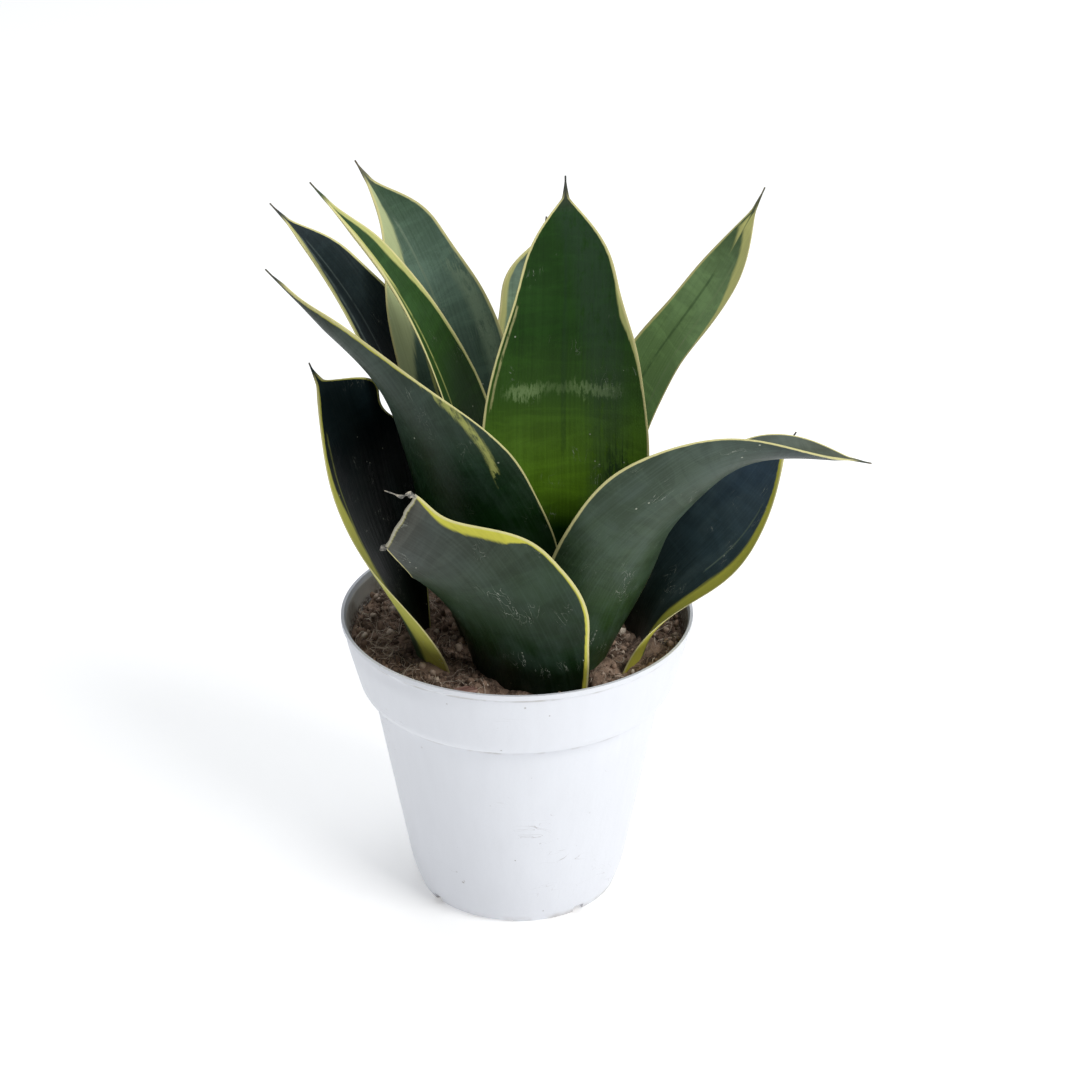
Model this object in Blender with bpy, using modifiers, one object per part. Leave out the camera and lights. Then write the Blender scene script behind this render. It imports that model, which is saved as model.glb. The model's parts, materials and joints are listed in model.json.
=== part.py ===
"""Potted dwarf snake plant: eleven leaves on a short rhizome, in soil, in a round nursery pot.

Run with Blender 4.5 in background mode or from its text editor. Lengths are written in millimetres
and turned to metres by MM. The pot stands on the plane z = 0, with its axis on the Z axis.
"""
import math
from dataclasses import dataclass

import bmesh
import bpy
import numpy as np

MM = 0.001

# Clearance kept between touching pieces.
GAP = 0.3

# Pot: outer radii and heights, from the ground up.
POT_HEIGHT = 104.0
RIM_RADIUS = 60.0
POT_WALL = 1.0
FLOOR_THICKNESS = 1.6
BASE_RADIUS = 33.6
HEEL_RADIUS = 37.0
HEEL_HEIGHT = 8.2
COLLAR_HEIGHT = 26.4
COLLAR_STEP = 1.2
COLLAR_BEVEL = 3.0
COLLAR_TAPER = 5.0
LIP_OVERHANG = 0.9
LIP_HEIGHT = 1.8
LIP_ROUND = 0.4
LIP_UNDERCUT = 0.3
BASE_BEVEL = 0.7
POT_STEPS = 60
SMALL_STEPS = 32

# Drainage: shallow recesses under the edge of the floor, a hole in each, and a notch between them.
DRAIN_COUNT = 4
RECESS_ANGLE = -118.5
RECESS_WIDTH = 30.0
RECESS_DEPTH = 0.8
RECESS_INNER = 19.0
RECESS_OVERRUN = 4.0
DRAIN_HOLE_RADIUS = 3.6
DRAIN_HOLE_CIRCLE = 25.0
NOTCH_ANGLE = -52.5
NOTCH_WIDTH = 4.0
NOTCH_DEPTH = 3.0
NOTCH_REACH = 2.0

# Soil.
HEADROOM = 9.0
SOIL_LUMP = 0.9
SOIL_WAVES = (0.21, 0.19, 0.43, 0.31, 0.37, 0.52)
SOIL_RINGS = 8

# Plant: its centre on the soil, how deep the leaves stand in it, and the leaf blade's thickness.
PLANT_X = 4.0
PLANT_Y = -4.0
PLANTING_DEPTH = 9.0
LEAF_THICKNESS = 1.7
MARGIN_THICKNESS = 0.6
LEAF_STATIONS = 19
LEAF_COLUMNS = 6
TIP_LENGTH = 7.0
TIP_HALF_WIDTH = 1.0

# Rhizome below the leaves, and how far each leaf's socket reaches down towards it.
RHIZOME_RADIUS = 13.0
RHIZOME_HEIGHT = 15.0
SOCKET_DEPTH = 4.0

# A loose chip of bark on the soil.
CHIP_LENGTH = 9.0
CHIP_WIDTH = 5.0
CHIP_THICKNESS = 1.6
CHIP_X = -17.0
CHIP_Y = -45.0
CHIP_TURN = 25.0
CHIP_WEAR = 0.4


@dataclass(frozen=True)
class Leaf:
    """One leaf blade.

    spine holds the points of the midrib, in mm from the plant's centre at the foot of the leaves.
    heading is the compass angle that the back of the leaf faces, and twist adds to it from foot to tip.
    fold is the half angle of the channel across the blade, from foot to tip.
    left and right stretch the half width on each side of the midrib, from foot to tip.
    """
    name: str
    heading: float
    spine: tuple
    twist: tuple
    fold: tuple
    half_width: float
    foot_share: float = 0.45
    widest_at: float = 0.45
    taper: float = 1.0
    cut_share: float = 0.0
    left: tuple = (1,)
    right: tuple = (1,)


LEAVES = (
    Leaf("leaf_front", 250,
         ((-1, -34, 0), (-5, -44, 29), (-13, -49, 49), (-26, -51, 67), (-42, -49, 77)),
         (0, -4, 22), (55, 45, 25), 29, foot_share=0.85, widest_at=0.42, cut_share=0.42,
         left=(0.85, 0.85, 0.86, 0.9, 1, 1.03, 1, 0.93, 0.66, 0.6, 1),
         right=(1, 1.13, 1.22, 1.18, 1.03, 0.9)),
    Leaf("leaf_left_low", 155,
         ((-35, -10, 0), (-42, -10, 25), (-53, -6, 52), (-62, -2, 82), (-72, 2, 111)),
         (40, 10, -5), (50, 26, 22), 29, foot_share=0.5,
         left=(1, 1.15, 1.2, 1.1, 0.98, 0.9, 0.92, 1, 1, 1, 1),
         right=(1, 1, 1, 1, 1.05, 1.2, 1.4, 1.6, 1.95, 3.5, 1)),
    Leaf("leaf_right_low", 30, ((37, -8, 0), (43, -4, 25), (60, -1, 45), (77, 3, 65), (89, 6, 84)),
         (-34, 0, 0), (43, 35, 25), 29, foot_share=0.6,
         left=(1, 1, 1, 1, 1, 1, 1, 1, 1.2, 2, 1)),
    Leaf("leaf_right_arched", 330,
         ((13, -26, 0), (23, -34, 42), (35, -37, 64), (51, -36, 80), (68, -32, 90),
          (88, -26, 91), (112, -18, 84)),
         (-40, -35, -20, -10), (50, 45, 50, 40), 23, foot_share=0.5, widest_at=0.5,
         left=(1, 1.1, 1.2, 1.2, 1.1, 1, 1, 1, 1, 1, 1),
         right=(1, 1, 1, 1, 1.05, 1.17, 1.12, 1, 1, 1, 1)),
    Leaf("leaf_left_arched", 215,
         ((-13, -13, 0), (-19, -20, 48), (-33, -21, 83), (-50, -16, 114), (-67, -8, 129), (-85, 0, 145)),
         (20, 24, -6, -15), (55, 52, 60, 60), 31, foot_share=0.5, widest_at=0.33, taper=1.7,
         left=(1, 1, 1, 1, 1.05, 1.22, 1.22, 1.1, 1.6, 2.3, 1),
         right=(1, 1, 1, 1, 1, 1.1, 1.4, 1.35, 1.6, 2.3, 1)),
    Leaf("leaf_left_back", 155,
         ((-26, 25, 0), (-26, 25, 39), (-37, 28, 76), (-56, 33, 115), (-86, 40, 152)),
         (10, 0, 0), (45, 35, 30), 21, taper=0.95,
         right=(1, 1, 1, 1, 1, 1, 1, 1.1, 1.25, 1.6, 1)),
    Leaf("leaf_centre", 90, ((5, -1, 0), (11, -1, 47), (11, 1, 91), (12, 5, 136), (12, 11, 173)),
         (0,), (50, 30, 20), 28, foot_share=0.4, taper=0.8,
         left=(1, 1, 1, 1, 1, 1, 0.98, 0.95, 1, 1.2, 1),
         right=(1, 1, 1, 1, 1.06, 1.08, 1.08, 1.1, 1.15, 1.4, 1)),
    Leaf("leaf_back_left", 112,
         ((-7, 29, 0), (-15, 33, 56), (-27, 37, 92), (-38, 43, 126), (-58, 51, 163)),
         (0,), (50, 40, 30), 22, foot_share=0.4,
         left=(1, 1, 1, 1, 1, 1, 1, 1.1, 1, 0.7, 1), right=(1, 1, 1, 1, 1, 1, 1.1, 1.2, 1.4, 1.9, 1)),
    Leaf("leaf_left_narrow", 180,
         ((-12, 7, 0), (-17, 12, 63), (-27, 12, 98), (-45, 14, 134), (-71, 18, 168)),
         (-20, -15, -15), (50, 25, 15), 17, foot_share=0.5, taper=1.1,
         left=(1, 1, 1, 1, 1, 0.9, 0.6, 0.35, 0.25, 0.45, 1),
         right=(1, 1, 1, 1, 1.05, 1.08, 1.08, 1.15, 1.4, 1.7, 1)),
    Leaf("leaf_right_back", 26, ((22, 16, 0), (32, 20, 67), (47, 24, 104), (64, 28, 132), (78, 34, 160)),
         (20, 0, 0), (50, 30, 20), 21, foot_share=0.4, widest_at=0.58,
         left=(1, 1, 1, 1, 1, 0.95, 0.85, 0.75, 0.85, 1, 1),
         right=(1, 1, 1, 0.9, 0.75, 0.65, 0.62, 0.82, 1.3, 1.7, 1)),
    Leaf("leaf_back", 100, ((10, 42, 0), (8, 48, 46), (6, 52, 82), (4, 57, 114), (6, 62, 138.5)),
         (0,), (50, 25, 20), 22, foot_share=0.4, taper=0.85,
         left=(1, 1, 1, 1, 1, 1, 1, 1.1, 1.3, 1.8, 1)),
)


def soil_level():
    """Height of the soil's mean surface above the ground."""
    return POT_HEIGHT - HEADROOM


def natural_spline(knots, values, at):
    """Read the natural cubic spline through values at knots."""
    knots = np.asarray(knots, float)
    values = np.asarray(values, float)
    steps = np.diff(knots)
    count = len(knots)
    matrix = np.eye(count)
    right = np.zeros_like(values)
    for i in range(1, count - 1):
        matrix[i, i - 1:i + 2] = (steps[i - 1], 2 * (steps[i - 1] + steps[i]), steps[i])
        rise_after = (values[i + 1] - values[i]) / steps[i]
        rise_before = (values[i] - values[i - 1]) / steps[i - 1]
        right[i] = 6 * (rise_after - rise_before)
    bend = np.linalg.solve(matrix, right)
    k = np.clip(np.searchsorted(knots, at, side="right") - 1, 0, count - 2)
    step = steps[k][:, None]
    after = (knots[k + 1] - at)[:, None]
    before = (at - knots[k])[:, None]
    cubic = (bend[k] * after ** 3 + bend[k + 1] * before ** 3) / (6 * step)
    return (cubic + (values[k] / step - bend[k] * step / 6) * after
            + (values[k + 1] / step - bend[k + 1] * step / 6) * before)


def along(keys, share):
    """Read evenly spaced keys smoothly at a share of the leaf's length."""
    keys = np.asarray(keys, float)[:, None]
    if len(keys) == 1:
        return np.full(len(share), keys[0, 0])
    return natural_spline(np.linspace(0, 1, len(keys)), keys, share)[:, 0]


def half_widths(leaf, share, length):
    """Half the blade's width: a broad foot, the widest point, then a curved taper to a short spine."""
    rising = leaf.foot_share + (1 - leaf.foot_share) * np.sin(
        np.pi / 2 * np.clip(share / leaf.widest_at, 0, 1))
    if leaf.cut_share:
        beyond = np.clip((share - leaf.widest_at) / (1 - leaf.widest_at), 0, 1)
        falling = 1 - (1 - leaf.cut_share) * (1 - np.cos(np.pi / 2 * beyond)) ** 1.3
        return leaf.half_width * np.where(share > leaf.widest_at, falling, rising)
    point = TIP_LENGTH / length
    left = np.clip((1 - point - share) / (1 - point - leaf.widest_at), 0, 1)
    falling = np.sin(np.pi / 2 * left) ** leaf.taper
    blade = leaf.half_width * np.where(share > leaf.widest_at, falling, rising)
    spine = TIP_HALF_WIDTH * np.clip((1 - share) / point, 0.35, 1)
    return np.hypot(blade, spine)


def leaf_frames(leaf, share):
    """Midrib points, and the directions across, along and out of the blade's inner face."""
    spine = np.asarray(leaf.spine, float)
    hops = np.linalg.norm(np.diff(spine, axis=0), axis=1)
    knots = np.concatenate(([0], np.cumsum(hops))) / hops.sum()
    fine = np.linspace(0, 1, 400)
    track = natural_spline(knots, spine, fine)
    run = np.concatenate(([0], np.cumsum(np.linalg.norm(np.diff(track, axis=0), axis=1))))
    at = np.interp(share, run / run[-1], fine)
    middle = natural_spline(knots, spine, at)
    ahead = natural_spline(knots, spine, np.clip(at + 0.001, 0, 1))
    behind = natural_spline(knots, spine, np.clip(at - 0.001, 0, 1))
    forward = ahead - behind
    forward /= np.linalg.norm(forward, axis=1)[:, None]
    heading = math.radians(leaf.heading)
    level = np.array((math.sin(heading), -math.cos(heading), 0))
    across = level - (forward @ level)[:, None] * forward
    across /= np.linalg.norm(across, axis=1)[:, None]
    inward = np.cross(across, forward)
    turn = np.radians(along(leaf.twist, share))[:, None]
    turned = across * np.cos(turn) - inward * np.sin(turn)
    inward = inward * np.cos(turn) + across * np.sin(turn)
    return middle, turned, forward, inward, run[-1]


def leaf_rings(leaf, stations, grow):
    """Closed cross-sections of the blade, as an array of stations, points and coordinates.

    grow is added all round, which turns the blade into the tool that cuts its socket.
    """
    share = np.linspace(0, 1, stations)
    middle, across, forward, inward, length = leaf_frames(leaf, share)
    half_width = half_widths(leaf, share, length)
    side = np.linspace(-1, 1, LEAF_COLUMNS + 1)[None, :]
    fold = np.radians(along(leaf.fold, share))[:, None]
    bend = fold * side
    stretch = np.where(side < 0, along(leaf.left, share)[:, None], along(leaf.right, share)[:, None])
    reach = half_width[:, None] * stretch + grow
    sideways = reach * np.sin(bend) / fold
    lift = reach * (1 - np.cos(bend)) / fold
    slim = np.clip(half_width / 4, 0.35, 1)[:, None]
    thick = MARGIN_THICKNESS + (LEAF_THICKNESS - MARGIN_THICKNESS) * (1 - side ** 2)
    half = thick * slim / 2 + grow

    def place(x, z):
        return (middle[:, None] + across[:, None] * x[..., None] + inward[:, None] * z[..., None])

    inner = place(sideways - half * np.sin(bend), lift + half * np.cos(bend))
    outer = place(sideways + half * np.sin(bend), lift - half * np.cos(bend))
    rings = np.concatenate((inner, outer[:, ::-1]), axis=1)
    if grow:
        rings = np.concatenate((rings[:1] - SOCKET_DEPTH * forward[0], rings))
    foot = soil_level() - PLANTING_DEPTH
    return rings + np.array((PLANT_X, PLANT_Y, foot))


def lofted(name, rings):
    """One closed mesh through the rings, whose two long sides are zipped together at the ends."""
    stations, points = rings.shape[:2]
    columns = points // 2
    faces = []
    for i in range(stations - 1):
        for j in range(points):
            k = (j + 1) % points
            faces.append((i * points + j, i * points + k, (i + 1) * points + k, (i + 1) * points + j))
    last = (stations - 1) * points
    for j in range(columns - 1):
        opposite = points - 1 - j
        faces.append((j, opposite, opposite - 1, j + 1))
        faces.append((last + j, last + j + 1, last + opposite - 1, last + opposite))
    mesh = bpy.data.meshes.new(name)
    mesh.from_pydata((rings.reshape(-1, 3) * MM).tolist(), [], faces)
    mesh.validate()
    mesh.shade_smooth()
    mesh.set_sharp_from_angle(angle=math.radians(50))
    return mesh


def add_object(name, mesh, collection, material=None):
    """Put a mesh in a collection as an object."""
    piece = bpy.data.objects.new(name, mesh)
    collection.objects.link(piece)
    if material:
        mesh.materials.append(material)
    return piece


def make_material(name, colour, roughness):
    """A plain Principled BSDF material."""
    material = bpy.data.materials.new(name)
    material.use_nodes = True
    shader = material.node_tree.nodes["Principled BSDF"]
    shader.inputs["Base Color"].default_value = (*colour, 1)
    shader.inputs["Roughness"].default_value = roughness
    shader.inputs["Metallic"].default_value = 0
    return material


def turned(name, profile, steps, collection, material=None):
    """A solid of revolution about Z from (radius, height) points that run down its outer side."""
    mesh = bpy.data.meshes.new(name)
    points = [(radius * MM, 0, height * MM) for radius, height in profile]
    mesh.from_pydata(points, [(i, i + 1) for i in range(len(points) - 1)], [])
    piece = add_object(name, mesh, collection, material)
    screw = piece.modifiers.new("Turn", "SCREW")
    screw.steps = steps
    screw.render_steps = steps
    screw.use_merge_vertices = True
    screw.merge_threshold = 0.00001
    screw.use_smooth_shade = True
    return piece


def pot_outer_profile():
    """The pot's outer side from the lip down to the edge of its base."""
    collar_foot = POT_HEIGHT - COLLAR_HEIGHT
    collar_radius = RIM_RADIUS - LIP_OVERHANG
    bevel_radius = collar_radius - COLLAR_TAPER
    body_radius = bevel_radius - COLLAR_BEVEL - COLLAR_STEP
    return [
        (RIM_RADIUS - LIP_ROUND, POT_HEIGHT),
        (RIM_RADIUS, POT_HEIGHT - LIP_ROUND),
        (RIM_RADIUS, POT_HEIGHT - LIP_HEIGHT + LIP_UNDERCUT),
        (collar_radius, POT_HEIGHT - LIP_HEIGHT - LIP_UNDERCUT),
        (collar_radius - 0.16 * COLLAR_TAPER, POT_HEIGHT - 0.3 * COLLAR_HEIGHT),
        (bevel_radius, collar_foot + COLLAR_BEVEL),
        (bevel_radius - 0.35 * COLLAR_BEVEL, collar_foot + 0.3 * COLLAR_BEVEL),
        (bevel_radius - COLLAR_BEVEL, collar_foot),
        (body_radius, collar_foot),
        (HEEL_RADIUS, HEEL_HEIGHT),
        (BASE_RADIUS + 0.9 * BASE_BEVEL, BASE_BEVEL),
        (BASE_RADIUS, 0),
    ]


def pot_inner_profile():
    """The pot's inner side from the floor's edge up to the lip, a wall's thickness inside the outer."""
    outer = pot_outer_profile()
    lip, _, _, collar_top, shoulder, bevel, _, collar_foot, body, heel, _, _ = outer
    slant = 0.6 * POT_WALL
    return [
        (BASE_RADIUS - slant, FLOOR_THICKNESS),
        (heel[0] - POT_WALL, heel[1] + 0.3),
        (body[0] - POT_WALL, body[1] + 0.4 * POT_WALL),
        (collar_foot[0] - POT_WALL, collar_foot[1] + POT_WALL),
        (bevel[0] - POT_WALL, bevel[1] + slant),
        (shoulder[0] - POT_WALL, shoulder[1]),
        (collar_top[0] - POT_WALL, collar_top[1]),
        (lip[0] - POT_WALL - LIP_ROUND / 2, lip[1] - LIP_ROUND),
        (lip[0] - POT_WALL + LIP_ROUND / 2, lip[1]),
    ]


def inner_radius(height):
    """The pot's inner radius at a height."""
    radii, heights = zip(*pot_inner_profile())
    return float(np.interp(height, heights, radii))


def cut(target, cutters):
    """Subtract every object of a collection of cutters from the target, in one go."""
    boolean = target.modifiers.new("Cut " + cutters.name, "BOOLEAN")
    boolean.operation = "DIFFERENCE"
    boolean.solver = "EXACT"
    boolean.operand_type = "COLLECTION"
    boolean.collection = cutters
    for cutter in cutters.objects:
        cutter.hide_render = True
        cutter.display_type = "WIRE"


def cutter_group(name, collection):
    """A collection for the cutters of one piece."""
    group = bpy.data.collections.new(name)
    collection.children.link(group)
    return group


def box_mesh(name, size):
    """A box around the origin."""
    mesh = bpy.data.meshes.new(name)
    work = bmesh.new()
    bmesh.ops.create_cube(work, size=MM)
    bmesh.ops.scale(work, vec=size, verts=work.verts)
    work.to_mesh(mesh)
    work.free()
    return mesh


def place_piece(piece, distance, height, angle):
    """Move a piece out along X and up, in mm, and then turn its place and itself about Z."""
    turn = math.radians(angle)
    piece.location = (distance * math.cos(turn) * MM, distance * math.sin(turn) * MM, height * MM)
    piece.rotation_euler.z = turn


def add_drain_cutters(collection):
    """Recesses, round holes and notches at the edge of the pot's floor."""
    reach = HEEL_RADIUS + RECESS_OVERRUN - RECESS_INNER
    for k in range(DRAIN_COUNT):
        turn = 360 / DRAIN_COUNT * k
        name = f"recess_{k}"
        recess = add_object(name, box_mesh(name, (reach, RECESS_WIDTH, 2 * RECESS_DEPTH)), collection)
        place_piece(recess, RECESS_INNER + reach / 2, 0, RECESS_ANGLE + turn)
        name = f"notch_{k}"
        notch = add_object(name, box_mesh(name, (reach / 2, NOTCH_WIDTH, 2 * NOTCH_DEPTH)), collection)
        place_piece(notch, BASE_RADIUS - NOTCH_REACH + reach / 4, 0, NOTCH_ANGLE + turn)
        half = 2 * FLOOR_THICKNESS
        profile = [(0, half), (DRAIN_HOLE_RADIUS, half), (DRAIN_HOLE_RADIUS, -half), (0, -half)]
        hole = turned(f"drain_hole_{k}", profile, SMALL_STEPS // 2, collection)
        place_piece(hole, DRAIN_HOLE_CIRCLE, 0, RECESS_ANGLE + turn)


def build_pot(parts, tools):
    """The nursery pot with its collar, lip and drained floor."""
    profile = [(0, FLOOR_THICKNESS)] + pot_inner_profile() + pot_outer_profile() + [(0, 0)]
    pot = turned("pot", profile, POT_STEPS, parts, make_material("white_plastic", (0.82, 0.83, 0.86), 0.45))
    drains = cutter_group("pot_drains", tools)
    add_drain_cutters(drains)
    cut(pot, drains)


def flat_faced(mesh):
    """Split a mesh's faces into triangles, so that each of them is flat."""
    work = bmesh.new()
    work.from_mesh(mesh)
    bmesh.ops.triangulate(work, faces=work.faces)
    work.to_mesh(mesh)
    work.free()


def soil_lift(x, y):
    """How far the soil's surface lies above its mean level at a place, in mm."""
    a, b, c, d, e, f = SOIL_WAVES
    wave = (math.sin(a * x + 1.1) * math.sin(b * y + 0.4)
            + 0.6 * math.sin(c * x - d * y) + 0.4 * math.sin(e * x + f * y + 2))
    return SOIL_LUMP * wave


def build_soil(parts, tools):
    """The soil that fills the pot, with a socket for each leaf and for the rhizome."""
    top = soil_level()
    wall = [(inner_radius(z) - GAP, z) for _, z in pot_inner_profile()[1:5] if z < top - 2]
    rim = inner_radius(top) - GAP
    profile = [(rim * k / SOIL_RINGS, top) for k in range(SOIL_RINGS + 1)]
    profile += wall[::-1] + [(inner_radius(FLOOR_THICKNESS) - GAP, FLOOR_THICKNESS + GAP)]
    profile += [(0, FLOOR_THICKNESS + GAP)]
    soil = turned("soil", profile, POT_STEPS, parts, make_material("coir_soil", (0.09, 0.055, 0.035), 0.95))
    mesh = bpy.data.meshes.new_from_object(soil.evaluated_get(bpy.context.evaluated_depsgraph_get()))
    for vertex in mesh.vertices:
        if vertex.co.z > (top - 0.01) * MM:
            x, y = vertex.co.x / MM, vertex.co.y / MM
            inside = 1 - (math.hypot(x, y) / rim) ** 4
            vertex.co.z += soil_lift(x, y) * inside * MM
    flat_faced(mesh)
    soil.modifiers.clear()
    soil.data = mesh
    sockets = cutter_group("soil_sockets", tools)
    for leaf in LEAVES:
        name = "socket_" + leaf.name
        add_object(name, lofted(name, socket_rings(leaf)), sockets)
    hollow = turned("socket_rhizome", rhizome_profile(GAP), SMALL_STEPS, sockets)
    hollow.location = (PLANT_X * MM, PLANT_Y * MM, 0)
    cut(soil, sockets)


def socket_rings(leaf):
    """The foot of the leaf, a clearance larger all round, up to well above the soil."""
    rings = leaf_rings(leaf, LEAF_STATIONS, GAP)
    lowest = rings[:, :, 2].min(axis=1)
    clear = soil_level() + 3 * SOIL_LUMP
    above = int(np.argmax(lowest > clear))
    return rings[:above + 1]


def rhizome_profile(grow):
    """A squat rounded rootstock whose top lies a clearance under the leaves."""
    top = soil_level() - PLANTING_DEPTH - 2 * LEAF_THICKNESS
    middle = top - RHIZOME_HEIGHT / 2
    points = []
    for angle in np.linspace(90, -90, 9):
        bulge = math.cos(math.radians(angle)) ** 0.6 if abs(angle) < 90 else 0
        points.append(((RHIZOME_RADIUS + grow) * bulge,
                       middle + (RHIZOME_HEIGHT / 2 + grow) * math.sin(math.radians(angle))))
    return points


def build_rhizome(parts):
    """The short rootstock that the leaves grow from, under the soil."""
    finish = make_material("root", (0.55, 0.42, 0.24), 0.8)
    rhizome = turned("rhizome", rhizome_profile(0), SMALL_STEPS, parts, finish)
    rhizome.location = (PLANT_X * MM, PLANT_Y * MM, 0)


def build_leaves(parts):
    """Every leaf, each a closed blade of its own."""
    shades = {
        "leaf_centre": (0.07, 0.2, 0.05),
        "leaf_right_back": (0.08, 0.2, 0.05),
        "leaf_left_narrow": (0.1, 0.25, 0.04),
    }
    for leaf in LEAVES:
        colour = shades.get(leaf.name, (0.04, 0.1, 0.07))
        mesh = lofted(leaf.name, leaf_rings(leaf, LEAF_STATIONS, 0))
        add_object(leaf.name, mesh, parts, make_material(leaf.name + "_green", colour, 0.4))


def build_chip(parts):
    """A flat chip of bark lying on the soil."""
    mesh = box_mesh("bark_chip", (CHIP_LENGTH, CHIP_WIDTH, CHIP_THICKNESS))
    chip = add_object("bark_chip", mesh, parts, make_material("bark", (0.25, 0.1, 0.05), 0.8))
    around = np.linspace(-0.6, 0.6, 5) * CHIP_LENGTH
    lift = max(soil_lift(CHIP_X + dx, CHIP_Y + dy) for dx in around for dy in around)
    height = soil_level() + max(lift, 0) + GAP + CHIP_THICKNESS / 2
    chip.location = (CHIP_X * MM, CHIP_Y * MM, height * MM)
    chip.rotation_euler.z = math.radians(CHIP_TURN)
    bevel = chip.modifiers.new("Worn edges", "BEVEL")
    bevel.width = CHIP_WEAR * MM
    bevel.segments = 2


def main():
    """Build the potted plant."""
    for piece in list(bpy.data.objects):
        bpy.data.objects.remove(piece, do_unlink=True)
    scene = bpy.context.scene.collection
    parts = bpy.data.collections.new("potted_snake_plant")
    tools = bpy.data.collections.new("cutters")
    scene.children.link(parts)
    scene.children.link(tools)
    build_pot(parts, tools)
    build_soil(parts, tools)
    build_rhizome(parts)
    build_leaves(parts)
    build_chip(parts)


main()
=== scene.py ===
"""Looks of the potted dwarf snake plant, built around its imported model.

The leaves, the pot, the soil and the loose bits on it are surfaces worked out on grids, in millimetres,
and turned to metres when they become meshes. Every sub-assembly is a class and so is every finish.
"""
from __future__ import annotations

import json
import logging
import math
from dataclasses import dataclass, field
from enum import Enum

import bmesh
import bpy
import numpy as np
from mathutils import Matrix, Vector

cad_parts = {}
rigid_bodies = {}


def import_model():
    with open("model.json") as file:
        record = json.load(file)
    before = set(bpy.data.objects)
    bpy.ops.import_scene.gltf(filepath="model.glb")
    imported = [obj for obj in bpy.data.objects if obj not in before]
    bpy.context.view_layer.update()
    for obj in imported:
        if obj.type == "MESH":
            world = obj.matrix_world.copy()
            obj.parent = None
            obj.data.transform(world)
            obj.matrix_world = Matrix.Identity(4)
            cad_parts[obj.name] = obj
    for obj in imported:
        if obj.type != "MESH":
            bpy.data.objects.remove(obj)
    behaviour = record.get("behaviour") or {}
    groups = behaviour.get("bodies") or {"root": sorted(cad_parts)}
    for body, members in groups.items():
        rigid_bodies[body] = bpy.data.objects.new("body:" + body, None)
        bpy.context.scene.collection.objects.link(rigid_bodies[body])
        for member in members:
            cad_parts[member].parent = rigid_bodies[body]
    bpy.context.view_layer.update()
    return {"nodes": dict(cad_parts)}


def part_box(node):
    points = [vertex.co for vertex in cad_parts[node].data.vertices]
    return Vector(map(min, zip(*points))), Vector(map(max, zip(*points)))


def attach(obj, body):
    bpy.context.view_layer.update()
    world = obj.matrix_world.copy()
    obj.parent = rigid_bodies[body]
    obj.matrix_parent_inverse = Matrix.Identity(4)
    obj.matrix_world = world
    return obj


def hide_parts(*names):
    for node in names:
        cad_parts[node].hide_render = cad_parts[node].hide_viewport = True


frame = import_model()

MM = 0.001
BODY = "root"
log = logging.getLogger("potted_snake_plant")

Colour = tuple[float, float, float]
Stops = tuple[tuple[float, Colour], ...]
Widths = tuple[tuple[float, float], ...]
Point = tuple[float, float, float]


# ----------------------------------------------------------------------------------------------
# Number fields
# ----------------------------------------------------------------------------------------------

def natural_spline(knots: np.ndarray, values: np.ndarray, at: np.ndarray) -> np.ndarray:
    """Read the natural cubic spline through values at knots.

    The second derivative is nothing at both ends and comes from a tridiagonal system between them.

    Args:
        knots: Places of the given values, rising.
        values: One row for each knot.
        at: Places to read.

    Returns:
        One row for each place.
    """
    steps = np.diff(knots)
    count = len(knots)
    matrix = np.eye(count)
    inner = np.arange(1, count - 1)
    matrix[inner, inner - 1] = steps[:-1]
    matrix[inner, inner] = 2 * (steps[:-1] + steps[1:])
    matrix[inner, inner + 1] = steps[1:]
    rises = np.diff(values, axis=0) / steps[:, None]
    right = np.zeros_like(values)
    right[1:-1] = 6 * np.diff(rises, axis=0)
    bend = np.linalg.solve(matrix, right)
    k = np.clip(np.searchsorted(knots, at, side="right") - 1, 0, count - 2)
    step = steps[k][:, None]
    after = (knots[k + 1] - at)[:, None]
    before = (at - knots[k])[:, None]
    cubic = (bend[k] * after ** 3 + bend[k + 1] * before ** 3) / (6 * step)
    return (cubic + (values[k] / step - bend[k] * step / 6) * after
            + (values[k + 1] / step - bend[k + 1] * step / 6) * before)


def smooth_step(value: np.ndarray, low: float, high: float) -> np.ndarray:
    """Rise from 0 at low to 1 at high along 3t^2 - 2t^3."""
    t = np.clip((value - low) / (high - low), 0, 1)
    return t * t * (3 - 2 * t)


def lattice_noise(points: np.ndarray, size: float, seed: int) -> np.ndarray:
    """Smooth random field from -1 to 1.

    Random numbers sit on a cubic lattice, and a point blends the eight around it with smooth weights.

    Args:
        points: Rows of coordinates.
        size: Lattice spacing in the same unit.
        seed: Chooses the random numbers.

    Returns:
        One value for each row.
    """
    side = 32
    table = np.random.default_rng(seed).uniform(-1, 1, (side, side, side))
    scaled = points / size
    cell = np.floor(scaled).astype(int)
    part = scaled - cell
    weight = part * part * (3 - 2 * part)
    total = np.zeros(points.shape[:-1])
    for corner in range(8):
        offset = np.array((corner & 1, corner >> 1 & 1, corner >> 2 & 1))
        share = np.where(offset == 1, weight, 1 - weight).prod(axis=-1)
        at = (cell + offset) % side
        total += share * table[at[..., 0], at[..., 1], at[..., 2]]
    return total


def rough_noise(points: np.ndarray, size: float, seed: int, octaves: int = 3) -> np.ndarray:
    """Add lattice noises, each half the size and half the height of the one before."""
    layers = [lattice_noise(points, size / 2 ** k, seed + k) / 2 ** k for k in range(octaves)]
    return np.sum(layers, axis=0)


# ----------------------------------------------------------------------------------------------
# Meshes
# ----------------------------------------------------------------------------------------------

def placed(name: str, data: bpy.types.ID) -> bpy.types.Object:
    """Make an object of a mesh, lamp or camera and link it to the scene."""
    made = bpy.data.objects.new(name, data)
    bpy.context.scene.collection.objects.link(made)
    return made


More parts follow.
